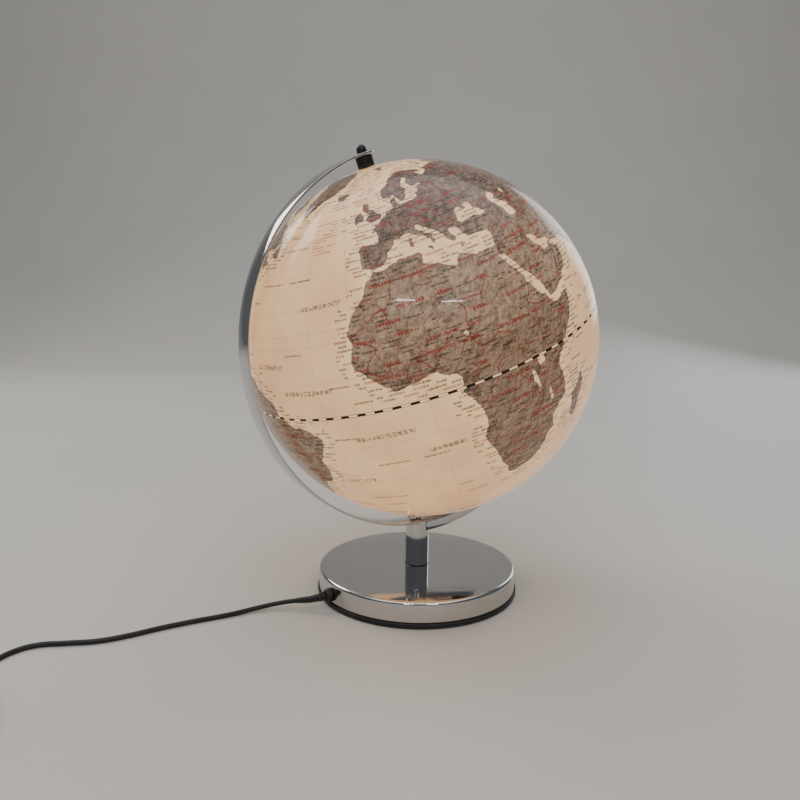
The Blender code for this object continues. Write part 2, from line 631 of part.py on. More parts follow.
# ---- lamp ---------------------------------------------------------------------------------
def make_lamp(white, brass, opal):
    """Lamp holder on the nipple, and the bulb in it, all inside the globe."""
    foot = -HOLDER_FOOT
    joint = foot + 0.019
    inside = HOLDER_RADIUS - HOLDER_WALL
    throat = NIPPLE_RADIUS + SLIP
    turned("holder_cap", [
        (inside, joint), (HOLDER_RADIUS, joint), (HOLDER_RADIUS, foot + 0.007),
        (HOLDER_RADIUS - 0.005, foot), (throat, foot), (throat, foot + 0.002),
        (HOLDER_RADIUS - 0.0058, foot + 0.002), (inside, foot + 0.0078)],
        white, AXIS_FRAME, steps=22)
    body_low = joint + CLEAR
    body_top = foot + 0.059
    floor = body_low + 0.0057
    turned("holder_body", [
        (inside, body_top), (HOLDER_RADIUS, body_top), (HOLDER_RADIUS, body_low),
        (0.0025, body_low), (0.0025, floor), (inside, floor)], white, AXIS_FRAME, steps=22)
    turned("holder_thread", [
        (0.0082, body_top - 0.0086), (0.0090, body_top - 0.0086), (0.0090, floor + CLEAR),
        (0.0082, floor + CLEAR)], brass, AXIS_FRAME, steps=20)
    seat = body_top - 0.008
    turned("bulb_cap", [
        (0.0, seat - CLEAR), (0.0070, seat - CLEAR), (0.0070, seat - 0.019),
        (0.0030, seat - 0.0225), (0.0, seat - 0.0225)], brass, AXIS_FRAME, steps=20)
    neck_top = seat + 0.026
    turned("bulb_neck", [
        (0.0, neck_top), (0.0172, neck_top), (0.0160, neck_top - 0.012),
        (0.0075, neck_top - 0.024), (0.0075, seat), (0.0, seat)], white, AXIS_FRAME, steps=22)
    rim = 0.01785
    centre = neck_top + CLEAR + sphere_height(BULB_RADIUS, rim)
    wall = 0.0012
    start = math.pi / 2
    outer = round_run((0.0, centre), BULB_RADIUS, start,
                      -math.acos(rim / BULB_RADIUS), 7)
    inner = round_run((0.0, centre), BULB_RADIUS - wall,
                      -math.asin((centre - neck_top - CLEAR) / (BULB_RADIUS - wall)), start, 7)
    outer[0] = (0.0, outer[0][1])
    inner[-1] = (0.0, inner[-1][1])
    turned("bulb_globe", outer + inner, opal, AXIS_FRAME, steps=24)


# ---- leads and cord -----------------------------------------------------------------------
def lead_route():
    """Centre line of the lead held inside the stand, from the gland to the lamp holder."""
    run = [(-BASE_RADIUS - GLAND_PROUD + 0.0003, GLAND_HEIGHT), (-BASE_RADIUS + 0.010, GLAND_HEIGHT)]
    fall_start = -BASE_RADIUS + 0.018
    fall_end = -0.024
    for step in range(7):
        share = step / 6
        ease = 0.5 - 0.5 * math.cos(math.pi * share)
        run.append((fall_start + (fall_end - fall_start) * share,
                    GLAND_HEIGHT + (LEAD_LOW - GLAND_HEIGHT) * ease))
    run += round_run((-LEAD_BEND, LEAD_LOW + LEAD_BEND), LEAD_BEND, -math.pi / 2, 0.0, 6)
    shift_low = BASE_HEIGHT + STEM_FOOT_LENGTH + 0.0006
    shift_high = ARC_SEAT_TOP - STEM_HEAD_LENGTH - 0.0010
    for step in range(9):
        share = step / 8
        ease = 0.5 - 0.5 * math.cos(math.pi * share)
        run.append((LEAD_OFFSET * ease, shift_low + (shift_high - shift_low) * share))
    corner = LEAD_OFFSET + LEAD_BEND
    corner_high = GLOBE_HEIGHT - sphere_height(LEAD_ORBIT_STEM, corner)
    run += round_run((corner, corner_high - LEAD_BEND), LEAD_BEND, math.pi, math.pi / 2, 6)
    turn_in = 0.0050
    last_out = NIPPLE_BORE - LEAD_RADIUS - SLIP
    start = STEM_ANGLE + math.atan2(corner, sphere_height(LEAD_ORBIT_STEM, corner))
    end = SOUTH_ANGLE - (turn_in - last_out) / LEAD_ORBIT_POLE
    for step in range(1, 7):
        share = step / 7
        angle = start + (end - start) * share
        orbit = LEAD_ORBIT_STEM + (LEAD_ORBIT_POLE - LEAD_ORBIT_STEM) * share
        run.append((orbit * math.cos(angle), GLOBE_HEIGHT + orbit * math.sin(angle)))
    bend = round_run((last_out - turn_in, -LEAD_ORBIT_POLE + turn_in), turn_in,
                     -math.pi / 2, 0.0, 6)
    run += [axis_point(out, along) for out, along in bend]
    run.append(axis_point(last_out, -HOLDER_FOOT + 0.010))
    run.append(axis_point(0.0, -HOLDER_FOOT + 0.0185))
    return [(x, 0.0, z) for x, z in run]


def make_leads(black, white):
    """The lead inside the stand and the free cord outside it, with its wound coil."""
    tube("inner_lead", lead_route(), LEAD_RADIUS, white)
    tube("cord_to_switch", smooth_route(CORD_TO_SWITCH, 0.0095), CORD_RADIUS, black)
    tube("cord_to_coil", smooth_route(CORD_TO_COIL, 0.0090), CORD_RADIUS, black)
    tube("cord_to_plug", smooth_route(CORD_TO_PLUG, 0.0070), CORD_RADIUS, black)
    spot = Matrix.Translation((*COIL_PLACE, 0.0))
    inner = COIL_MID_RADIUS - COIL_HALF
    outer = COIL_MID_RADIUS + COIL_HALF
    low = 0.0002
    top = low + COIL_HEIGHT
    soft = 0.002
    turned("cord_coil", [
        (inner + soft, top), (outer - soft, top), (outer, top - soft), (outer, low + soft),
        (outer - soft, low), (inner + soft, low), (inner, low + soft), (inner, top - soft)],
        black, spot, steps=28)


def make_switch(black, rocker_look):
    """In-line switch lying on the table: two half housings, a rocker and its pivot pin."""
    x, y = SWITCH_PLACE
    frame = Matrix.Translation((x, y, 0.0)) @ Matrix.Rotation(-math.pi / 2, 4, 'Z')
    length = SWITCH_LENGTH / 2
    width = SWITCH_WIDTH / 2
    split = SWITCH_HEIGHT / 2
    add_part("switch_lower", box_mesh("switch_lower", (-length, -width, 0.0002),
                                      (length, width, split - CLEAR / 2), 0.0020), black, frame)
    upper = add_part("switch_upper", box_mesh(
        "switch_upper", (-length, -width, split + CLEAR / 2), (length, width, SWITCH_HEIGHT),
        0.0020), black, frame)
    side = ROCKER_WIDTH / 2 + CLEAR
    along = ROCKER_LENGTH / 2 + 0.0010
    window = add_cutter("rocker window", box_mesh(
        "rocker window", (-along, -side, split - 0.004), (along, side, SWITCH_HEIGHT + 0.004)),
        frame)
    pivot_height = SWITCH_HEIGHT - 0.0035
    pivot = Matrix.Translation((x, y, pivot_height)) @ Matrix.Rotation(-math.pi / 2, 4, 'Z')
    pin_frame = pivot @ Matrix.Rotation(math.pi / 2, 4, 'X')
    pin_half = ROCKER_WIDTH / 2 + 0.003
    pin_radius = 0.0009
    pin_way = add_cutter("rocker pin way", rod_mesh(
        "rocker pin way", pin_radius + SLIP, -pin_half - CLEAR, pin_half + CLEAR, sides=16), pin_frame)
    cut(upper, window, pin_way)
    half = ROCKER_LENGTH / 2
    deep = pivot_height - split - 0.0015
    rocker = add_part("switch_rocker", box_mesh(
        "switch_rocker", (-half, -ROCKER_WIDTH / 2, -deep), (half, ROCKER_WIDTH / 2, 0.0048),
        0.0006), rocker_look, pivot @ Matrix.Rotation(ROCKER_TILT, 4, 'Y'))
    cut(rocker, pin_way)
    add_part("rocker_pin", rod_mesh("rocker_pin", pin_radius, -pin_half, pin_half, sides=16),
             rocker_look, pin_frame)


def make_plug(black, brass):
    """Flat two-pin plug at the cord's end, lying on the table."""
    x, y = PLUG_PLACE
    frame = Matrix.Translation((x, y, 0.0)) @ Matrix.Rotation(math.pi / 2, 4, 'Z')
    half = PLUG_LENGTH / 2
    body = add_part("plug_body", box_mesh(
        "plug_body", (-half, -PLUG_WIDTH / 2, 0.0002), (half, PLUG_WIDTH / 2, PLUG_HEIGHT), 0.0030),
        black, frame)
    middle = PLUG_HEIGHT / 2
    depth = 0.008
    for label, side in (("1", -1.0), ("2", 1.0)):
        spot = Matrix.Translation((half, side * PLUG_PIN_SPACING / 2, middle))
        pin_frame = frame @ spot @ Matrix.Rotation(math.pi / 2, 4, 'Y')
        way = rod_mesh("plug pin way " + label, PLUG_PIN_RADIUS + SLIP, -depth - CLEAR, 0.003, sides=20)
        cut(body, add_cutter("plug pin way " + label, way, pin_frame))
        tip = PLUG_PIN_LENGTH
        turned("plug_pin_" + label, [
            (0.0, tip), (PLUG_PIN_RADIUS - 0.0008, tip), (PLUG_PIN_RADIUS, tip - 0.0012),
            (PLUG_PIN_RADIUS, -depth), (0.0, -depth)], brass, pin_frame, steps=20)


# ---- the whole object ---------------------------------------------------------------------
def main():
    global parts, cutters
    for obj in list(bpy.data.objects):
        bpy.data.objects.remove(obj, do_unlink=True)
    parts = bpy.data.collections.new("desktop_globe")
    cutters = bpy.data.collections.new("cutters")
    bpy.context.scene.collection.children.link(parts)
    bpy.context.scene.collection.children.link(cutters)

    chrome = look("polished chrome", (0.80, 0.79, 0.78), 0.08, 1.0)
    iron = look("cast iron", (0.16, 0.16, 0.17), 0.75, 0.6)
    zinc = look("zinc plate", (0.62, 0.62, 0.60), 0.35, 1.0)
    brass = look("brass", (0.72, 0.55, 0.25), 0.30, 1.0)
    black = look("black plastic", (0.02, 0.02, 0.02), 0.45)
    felt = look("black felt", (0.03, 0.03, 0.03), 0.95)
    white = look("white plastic", (0.85, 0.85, 0.82), 0.45)
    opal = look("opal plastic", (0.95, 0.93, 0.88), 0.35)
    shell_look = look("printed globe shell", (0.90, 0.72, 0.52), 0.35)

    make_base(chrome, iron, black, felt, zinc)
    make_gland(black)
    make_stem(chrome, brass, zinc)
    make_arc(chrome)
    make_cover(chrome)
    make_pivots(black, zinc, brass)
    make_globe(shell_look, black)
    make_lamp(white, brass, opal)
    make_leads(black, white)
    make_switch(black, black)
    make_plug(black, brass)


main()
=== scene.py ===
"""Looks of an illuminated desktop globe on a tilted steel arc with a round base.

Everything is in metres in the frame of the CAD model: +Z up, the arc in the XZ plane, passing
the globe on its -X side. The globe's axis leans towards -X at the top.
"""
import math

import bpy
import numpy as np
from mathutils import Matrix, Vector


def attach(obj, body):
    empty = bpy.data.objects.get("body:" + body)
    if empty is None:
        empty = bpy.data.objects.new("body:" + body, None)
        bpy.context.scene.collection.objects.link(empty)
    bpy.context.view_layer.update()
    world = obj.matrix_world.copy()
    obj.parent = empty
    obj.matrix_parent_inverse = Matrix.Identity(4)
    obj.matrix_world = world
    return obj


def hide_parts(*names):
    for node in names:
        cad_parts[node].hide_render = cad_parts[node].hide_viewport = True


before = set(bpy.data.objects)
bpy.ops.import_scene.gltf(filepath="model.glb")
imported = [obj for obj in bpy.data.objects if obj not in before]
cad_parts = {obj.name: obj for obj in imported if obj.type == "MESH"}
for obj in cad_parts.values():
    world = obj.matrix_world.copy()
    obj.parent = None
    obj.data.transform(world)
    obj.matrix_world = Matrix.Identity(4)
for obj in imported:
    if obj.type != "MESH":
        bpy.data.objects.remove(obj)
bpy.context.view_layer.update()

# ---- driving sizes ------------------------------------------------------------------------
MM = 0.001
AXIS_TILT = math.radians(21.5)
GLOBE_R = 0.150
GLOBE_WALL = 0.0018
CENTRE = Vector((0.0, 0.0, 0.2226))
AXIS_FRAME = Matrix.Translation(CENTRE) @ Matrix.Rotation(-AXIS_TILT, 4, "Y")
NORTH = math.pi / 2 + AXIS_TILT         # angle of the north pole in the XZ plane
SOUTH = NORTH + math.pi
FOOT = 1.5 * math.pi                    # angle of the stem
ARC_IN = 0.1599
ARC_OUT = 0.1616
ARC_HALF = 0.009
COVER_HALF = 0.0105
STEM_R = 0.0105
BASE_R = 0.088
BASE_TOP = 0.022
CORD_R = 0.0019
FLOOR_GAP = 0.0002                      # pieces lying beside the base stand this far off the floor
ON_AXIS = 0.00005                       # radius where a turned solid closes on its own axis
FIRST_MERIDIAN = math.radians(124.4)    # longitude that faces +X


# ---- modelling by hand ---------------------------------------------------------------------
def deselect():
    bpy.ops.object.select_all(action="DESELECT")


def take(obj):
    """Makes a piece the only selected one and the active one."""
    deselect()
    obj.select_set(True)
    bpy.context.view_layer.objects.active = obj


def link(name, data):
    """Puts mesh, curve, lamp or camera data into the scene."""
    obj = bpy.data.objects.new(name, data)
    bpy.context.collection.objects.link(obj)
    return obj


def primitive(kind, **settings):
    """Adds a primitive with nothing else selected and returns it."""
    deselect()
    getattr(bpy.ops.mesh, "primitive_" + kind + "_add")(**settings)
    return bpy.context.object


def scaled(kind, size):
    """A primitive one metre wide scaled to a size, with the scale left in its mesh."""
    obj = primitive(kind, size=1.0)
    obj.scale = size
    bpy.ops.object.transform_apply(location=False, rotation=False, scale=True)
    return obj


def edit(obj):
    """Opens a piece in edit mode with nothing selected in it."""
    take(obj)
    bpy.ops.object.mode_set(mode="EDIT")
    bpy.ops.mesh.select_mode(type="VERT")
    bpy.ops.mesh.select_all(action="DESELECT")


def close_edit():
    bpy.ops.object.mode_set(mode="OBJECT")


def select_all():
    """In edit mode, selects the whole mesh."""
    bpy.ops.mesh.select_all(action="SELECT")


def bisect(point, normal, **settings):
    """In edit mode, splits the whole mesh along a plane."""
    select_all()
    bpy.ops.mesh.bisect(plane_co=point, plane_no=normal, **settings)


def extrude(step):
    """In edit mode, extrudes what is selected by a step."""
    bpy.ops.mesh.extrude_region_move(TRANSFORM_OT_translate={"value": step})


def pick(obj, test, kind="FACE"):
    """In edit mode, selects just the faces, edges or vertices whose middle passes the test."""
    bpy.ops.mesh.select_mode(type=kind)
    bpy.ops.mesh.select_all(action="DESELECT")
    bpy.ops.object.mode_set(mode="OBJECT")
    mesh = obj.data
    if kind == "FACE":
        for face in mesh.polygons:
            face.select = bool(test(face.center, face.normal))
    elif kind == "EDGE":
        for edge in mesh.edges:
            a, b = (mesh.vertices[i].co for i in edge.vertices)
            edge.select = bool(test((a + b) / 2, b - a))
    else:
        for vertex in mesh.vertices:
            vertex.select = bool(test(vertex.co, vertex.normal))
    bpy.ops.object.mode_set(mode="EDIT")


def modify(obj, kind, **settings):
    """Adds a modifier and applies it."""
    take(obj)
    modifier = obj.modifiers.new(kind.lower(), kind)
    for key, value in settings.items():
        setattr(modifier, key, value)
    bpy.ops.object.modifier_apply(modifier=modifier.name)


def ease(obj, width, segments=3, angle=30.0):
    """Rounds every edge sharper than the angle."""
    modify(obj, "BEVEL", width=width, segments=segments, limit_method="ANGLE",
           angle_limit=math.radians(angle), use_clamp_overlap=True)


def smooth(obj, angle):
    """Shades a piece smooth but for edges sharper than the angle, in degrees."""
    take(obj)
    bpy.ops.object.shade_smooth_by_angle(angle=math.radians(angle))


def place(obj, matrix):
    """Moves a piece to its place and leaves the place in its mesh."""
    take(obj)
    obj.matrix_world = matrix @ obj.matrix_world
    bpy.ops.object.transform_apply(location=True, rotation=True, scale=True)


def outward(obj):
    """Merges doubles and turns every face outward."""
    edit(obj)
    select_all()
    bpy.ops.mesh.remove_doubles(threshold=2e-6)
    bpy.ops.mesh.normals_make_consistent(inside=False)
    close_edit()


def draw_profile(points):
    """A chain of edges through points (x, z), extruded one step at a time from one corner."""
    obj = primitive("plane", size=MM)
    edit(obj)
    select_all()
    bpy.ops.mesh.merge(type="CENTER")
    bpy.ops.transform.translate(value=(points[0][0], 0.0, points[0][1]))
    for (x0, z0), (x1, z1) in zip(points, points[1:]):
        extrude((x1 - x0, 0.0, z1 - z0))
    close_edit()
    return obj


def turned(profile, steps=96):
    """A profile (radius, height) turned about +Z into a closed solid."""
    obj = draw_profile(profile + [profile[0]])
    edit(obj)
    select_all()
    bpy.ops.mesh.spin(steps=steps, angle=2 * math.pi, center=(0, 0, 0), axis=(0, 0, 1))
    close_edit()
    outward(obj)
    return obj


def arc_points(middle, radius, start, end, steps):
    """Points of a round stretch of a profile, angles in degrees."""
    turn = [math.radians(start + (end - start) * i / steps) for i in range(steps + 1)]
    return [(middle[0] + radius * math.cos(t), middle[1] + radius * math.sin(t)) for t in turn]


def cut(obj, cutter):
    """Takes one piece out of another and deletes it."""
    modify(obj, "BOOLEAN", object=cutter, operation="DIFFERENCE", solver="EXACT")
    bpy.data.objects.remove(cutter)


def fit(obj, name, body, slot, material, *nodes, angle=None, way=None):
    """Smooths a piece, puts it in its place, names it and hands it to the frame."""
    if angle is not None:
        smooth(obj, angle)
    if way is not None:
        place(obj, way)
    obj.name = name
    obj.data.name = name
    obj.data.materials.clear()
    obj.data.materials.append(material)
    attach(obj, body)
    if nodes:
        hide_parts(*nodes)
    return obj


# ---- shader maths --------------------------------------------------------------------------
class Wire:
    """A value or colour inside a material; arithmetic on it adds Math nodes."""

    def __init__(self, paint, socket):
        self.paint = paint
        self.socket = socket

    def maths(self, operation, *values):
        return self.paint.node("ShaderNodeMath", {"operation": operation}, dict(enumerate(values)))

    def __add__(self, other):
        return self.maths("ADD", self, other)

    def __radd__(self, other):
        return self.maths("ADD", other, self)

    def __sub__(self, other):
        return self.maths("SUBTRACT", self, other)

    def __rsub__(self, other):
        return self.maths("SUBTRACT", other, self)

    def __mul__(self, other):
        return self.maths("MULTIPLY", self, other)

    def __truediv__(self, other):
        return self.maths("DIVIDE", self, other)

    def __mod__(self, other):
        return self.maths("FLOORED_MODULO", self, other)

    def __abs__(self):
        return self.maths("ABSOLUTE", self)

    def __lt__(self, other):
        return self.maths("LESS_THAN", self, other)

    def __gt__(self, other):
        return self.maths("GREATER_THAN", self, other)

    def floor(self):
        return self.maths("FLOOR", self)

    def below(self, edge, soft):
        """1 under the edge, 0 above it, over a soft width."""
        return self.paint.step(self, edge - soft, edge + soft, 1.0, 0.0)

    def above(self, edge, soft):
        """0 under the edge, 1 above it, over a soft width."""
        return self.paint.step(self, edge - soft, edge + soft, 0.0, 1.0)


class Paint:
    """One node material with a Principled shader."""

    def __init__(self, name):
        self.material = bpy.data.materials.new(name)
        self.material.use_nodes = True
        self.tree = self.material.node_tree
        self.shader = self.tree.nodes["Principled BSDF"]
        self.place = self.node("ShaderNodeTexCoord", out="Object")

    def feed(self, socket, value):
        if isinstance(value, Wire):
            self.tree.links.new(value.socket, socket)
        else:
            socket.default_value = value

    def node(self, kind, settings=None, inputs=None, out=0):
        """Adds a node: its settings first, then its sockets, and returns one output."""
        made = self.tree.nodes.new(kind)
        for key, value in (settings or {}).items():
            setattr(made, key, value)
        for key, value in (inputs or {}).items():
            self.feed(made.inputs[key], value)
        return Wire(self, made.outputs[out])

    def step(self, value, low, high, start, end):
        return self.node("ShaderNodeMapRange", {"interpolation_type": "SMOOTHSTEP"},
                         {"Value": value, "From Min": low, "From Max": high,
                          "To Min": start, "To Max": end})

    def mix(self, share, first, second, how="MIX"):
        """Mixes two colours."""
        made = self.tree.nodes.new("ShaderNodeMix")
        made.data_type = "RGBA"
        made.blend_type = how
        for index, value in ((0, share), (6, first), (7, second)):
            self.feed(made.inputs[index], value)
        return Wire(self, made.outputs[2])

    def noise(self, scale, detail, roughness, where=None):
        return self.node("ShaderNodeTexNoise", None,
                         {"Vector": where or self.place, "Scale": scale, "Detail": detail,
                          "Roughness": roughness})

    def attribute(self, name):
        return self.node("ShaderNodeAttribute", {"attribute_name": name}, out="Fac")

    def vector(self, operation, first, second, out=0):
        made = self.tree.nodes.new("ShaderNodeVectorMath")
        made.operation = operation
        self.feed(made.inputs[0], first)
        self.feed(made.inputs[1], second)
        return Wire(self, made.outputs[out])

    def combine(self, x, y, z):
        return self.node("ShaderNodeCombineXYZ", None, {0: x, 1: y, 2: z})

    def random(self, x, y, z, out="Value"):
        return self.node("ShaderNodeTexWhiteNoise", {"noise_dimensions": "3D"},
                         {"Vector": self.combine(x, y, z)}, out)

    def split(self, colour):
        made = self.tree.nodes.new("ShaderNodeSeparateColor")
        self.feed(made.inputs[0], colour)
        return [Wire(self, made.outputs[i]) for i in range(3)]

    def bump(self, height, strength, distance):
        return self.node("ShaderNodeBump", None,
                         {"Height": height, "Strength": strength, "Distance": distance})

    def set(self, **sockets):
        """Sets the shader's sockets; an underscore in a name stands for a space."""
        for key, value in sockets.items():
            self.feed(self.shader.inputs[key.replace("_", " ")], value)
        return self


def rgb(r, g, b):
    """A colour given in screen values of 0 to 255."""
    def linear(v):
        v /= 255
        return v / 12.92 if v <= 0.04045 else ((v + 0.055) / 1.055) ** 2.4
    return (linear(r), linear(g), linear(b), 1.0)


def toned(colour, gain, lift=0.0):
    """A darker or lighter version of a colour."""
    return tuple(min(1.0, gain * c + lift) for c in colour[:3]) + (1.0,)


# ---- materials -----------------------------------------------------------------------------
def mirror_chrome(name):
    """Polished chrome: hazy patches of handling and hair-fine polishing marks."""
    tint = (0.60, 0.595, 0.59, 1.0)
    polish = 0.05
    paint = Paint(name)
    haze = paint.noise(38, 5, 0.6).above(0.58, 0.20)
    stretched = paint.vector("MULTIPLY", paint.place, (900, 900, 5200))
    lines = paint.noise(1.0, 2, 0.5, stretched)
    smear = paint.noise(9, 2, 0.5).above(0.55, 0.25)
    colour = paint.mix(haze * 0.35, tint, toned(tint, 0.90))
    paint.set(Base_Color=colour, Metallic=1.0,
              Roughness=polish + haze * 0.05 + smear * 0.03 + lines * 0.02,
              Normal=paint.bump(lines, 0.03, 0.00002))
    return paint.material


def moulded(name, colour, dull=0.42, grain=0.25):
    """Moulded plastic: fine spark-eroded grain, faint flow marks and rubbed patches."""
    paint = Paint(name)
    fine = paint.noise(2600, 3, 0.6)
    flow = paint.noise(60, 4, 0.55)
    rubbed = paint.noise(140, 3, 0.6).above(0.60, 0.12)
    tone = paint.mix(flow.above(0.5, 0.3) * 0.6, colour, toned(colour, 1.6, 0.012))
    paint.set(Base_Color=tone, Roughness=dull + fine * 0.14 - rubbed * 0.12,
              Normal=paint.bump(fine, grain, 0.00006))
    return paint.material


def cast_metal(name, colour, dull):
    """Cast or plated metal with a cloudy skin."""
    paint = Paint(name)
    cloud = paint.noise(160, 5, 0.6)
    pits = paint.noise(1100, 3, 0.6)
    tone = paint.mix(cloud.above(0.5, 0.2), colour, toned(colour, 0.72))
    paint.set(Base_Color=tone, Metallic=1.0,
              Roughness=dull + pits * 0.14 - 0.07, Normal=paint.bump(pits, 0.3, 0.0001))
    return paint.material


def turned_metal(name, colour):
    """Turned metal: tool rings that follow the height, and a little tarnish."""
    paint = Paint(name)
    rings = paint.noise(1.0, 2, 0.5, paint.vector("MULTIPLY", paint.place, (60, 60, 3800)))
    tarnish = paint.noise(210, 4, 0.6).above(0.56, 0.14)
    paint.set(Base_Color=paint.mix(tarnish * 0.7, colour, toned(colour, 0.62)), Metallic=1.0,
              Roughness=0.26 + rings * 0.12 + tarnish * 0.12,
              Normal=paint.bump(rings, 0.15, 0.00005))
    return paint.material


def pressed_felt(name):
    """Black felt: matted fibres and lint."""
    paint = Paint(name)
    fibres = paint.node("ShaderNodeTexWave", {"wave_type": "BANDS"},
                        {"Vector": paint.place, "Scale": 420, "Distortion": 26, "Detail": 4})
    lint = paint.noise(1500, 4, 0.7)
    tone = paint.mix(fibres * 0.5 + lint * 0.5, rgb(10, 10, 11), rgb(52, 51, 50))
    paint.set(Base_Color=tone, Roughness=0.95, Normal=paint.bump(fibres + lint, 0.7, 0.0003))
    return paint.material


def cord_sheath(name):
    """Satin black PVC sheath with extrusion streaks along it and faint dust."""
    paint = Paint(name)
    streak = paint.noise(320, 3, 0.5)
    dust = paint.noise(900, 4, 0.7).above(0.62, 0.10)
    tone = paint.mix(dust * 0.35, rgb(17, 17, 18), rgb(72, 70, 67))
    paint.set(Base_Color=paint.mix(streak.above(0.5, 0.3) * 0.5, tone, rgb(26, 26, 27)),
              Roughness=0.38 + streak * 0.16 + dust * 0.15,
              Normal=paint.bump(streak, 0.12, 0.0001))
    return paint.material


def opal(name):
    """Opal envelope that glows evenly, in a faintly clouded tone."""
    paint = Paint(name)
    cloud = paint.noise(70, 3, 0.5)
    tone = paint.mix(cloud, (1.0, 0.90, 0.74, 1.0), (1.0, 0.82, 0.60, 1.0))
    paint.set(Base_Color=tone, Roughness=0.35 + cloud * 0.08, Emission_Color=tone,
              Emission_Strength=1.2)
    return paint.material


chrome = mirror_chrome("mirror chrome")
black_moulded = moulded("black moulding", rgb(20, 20, 21))
black_satin = moulded("black satin moulding", rgb(15, 15, 16), dull=0.30, grain=0.10)
iron = cast_metal("cast iron", rgb(74, 74, 77), 0.68)
zinc = cast_metal("zinc plate", rgb(178, 178, 172), 0.34)
brass = turned_metal("turned brass", rgb(206, 170, 104))
felt = pressed_felt("black felt")
white_moulded = moulded("white moulding", rgb(226, 224, 216), dull=0.40, grain=0.15)
opal_glow = opal("opal envelope")
sheath = cord_sheath("black cord sheath")


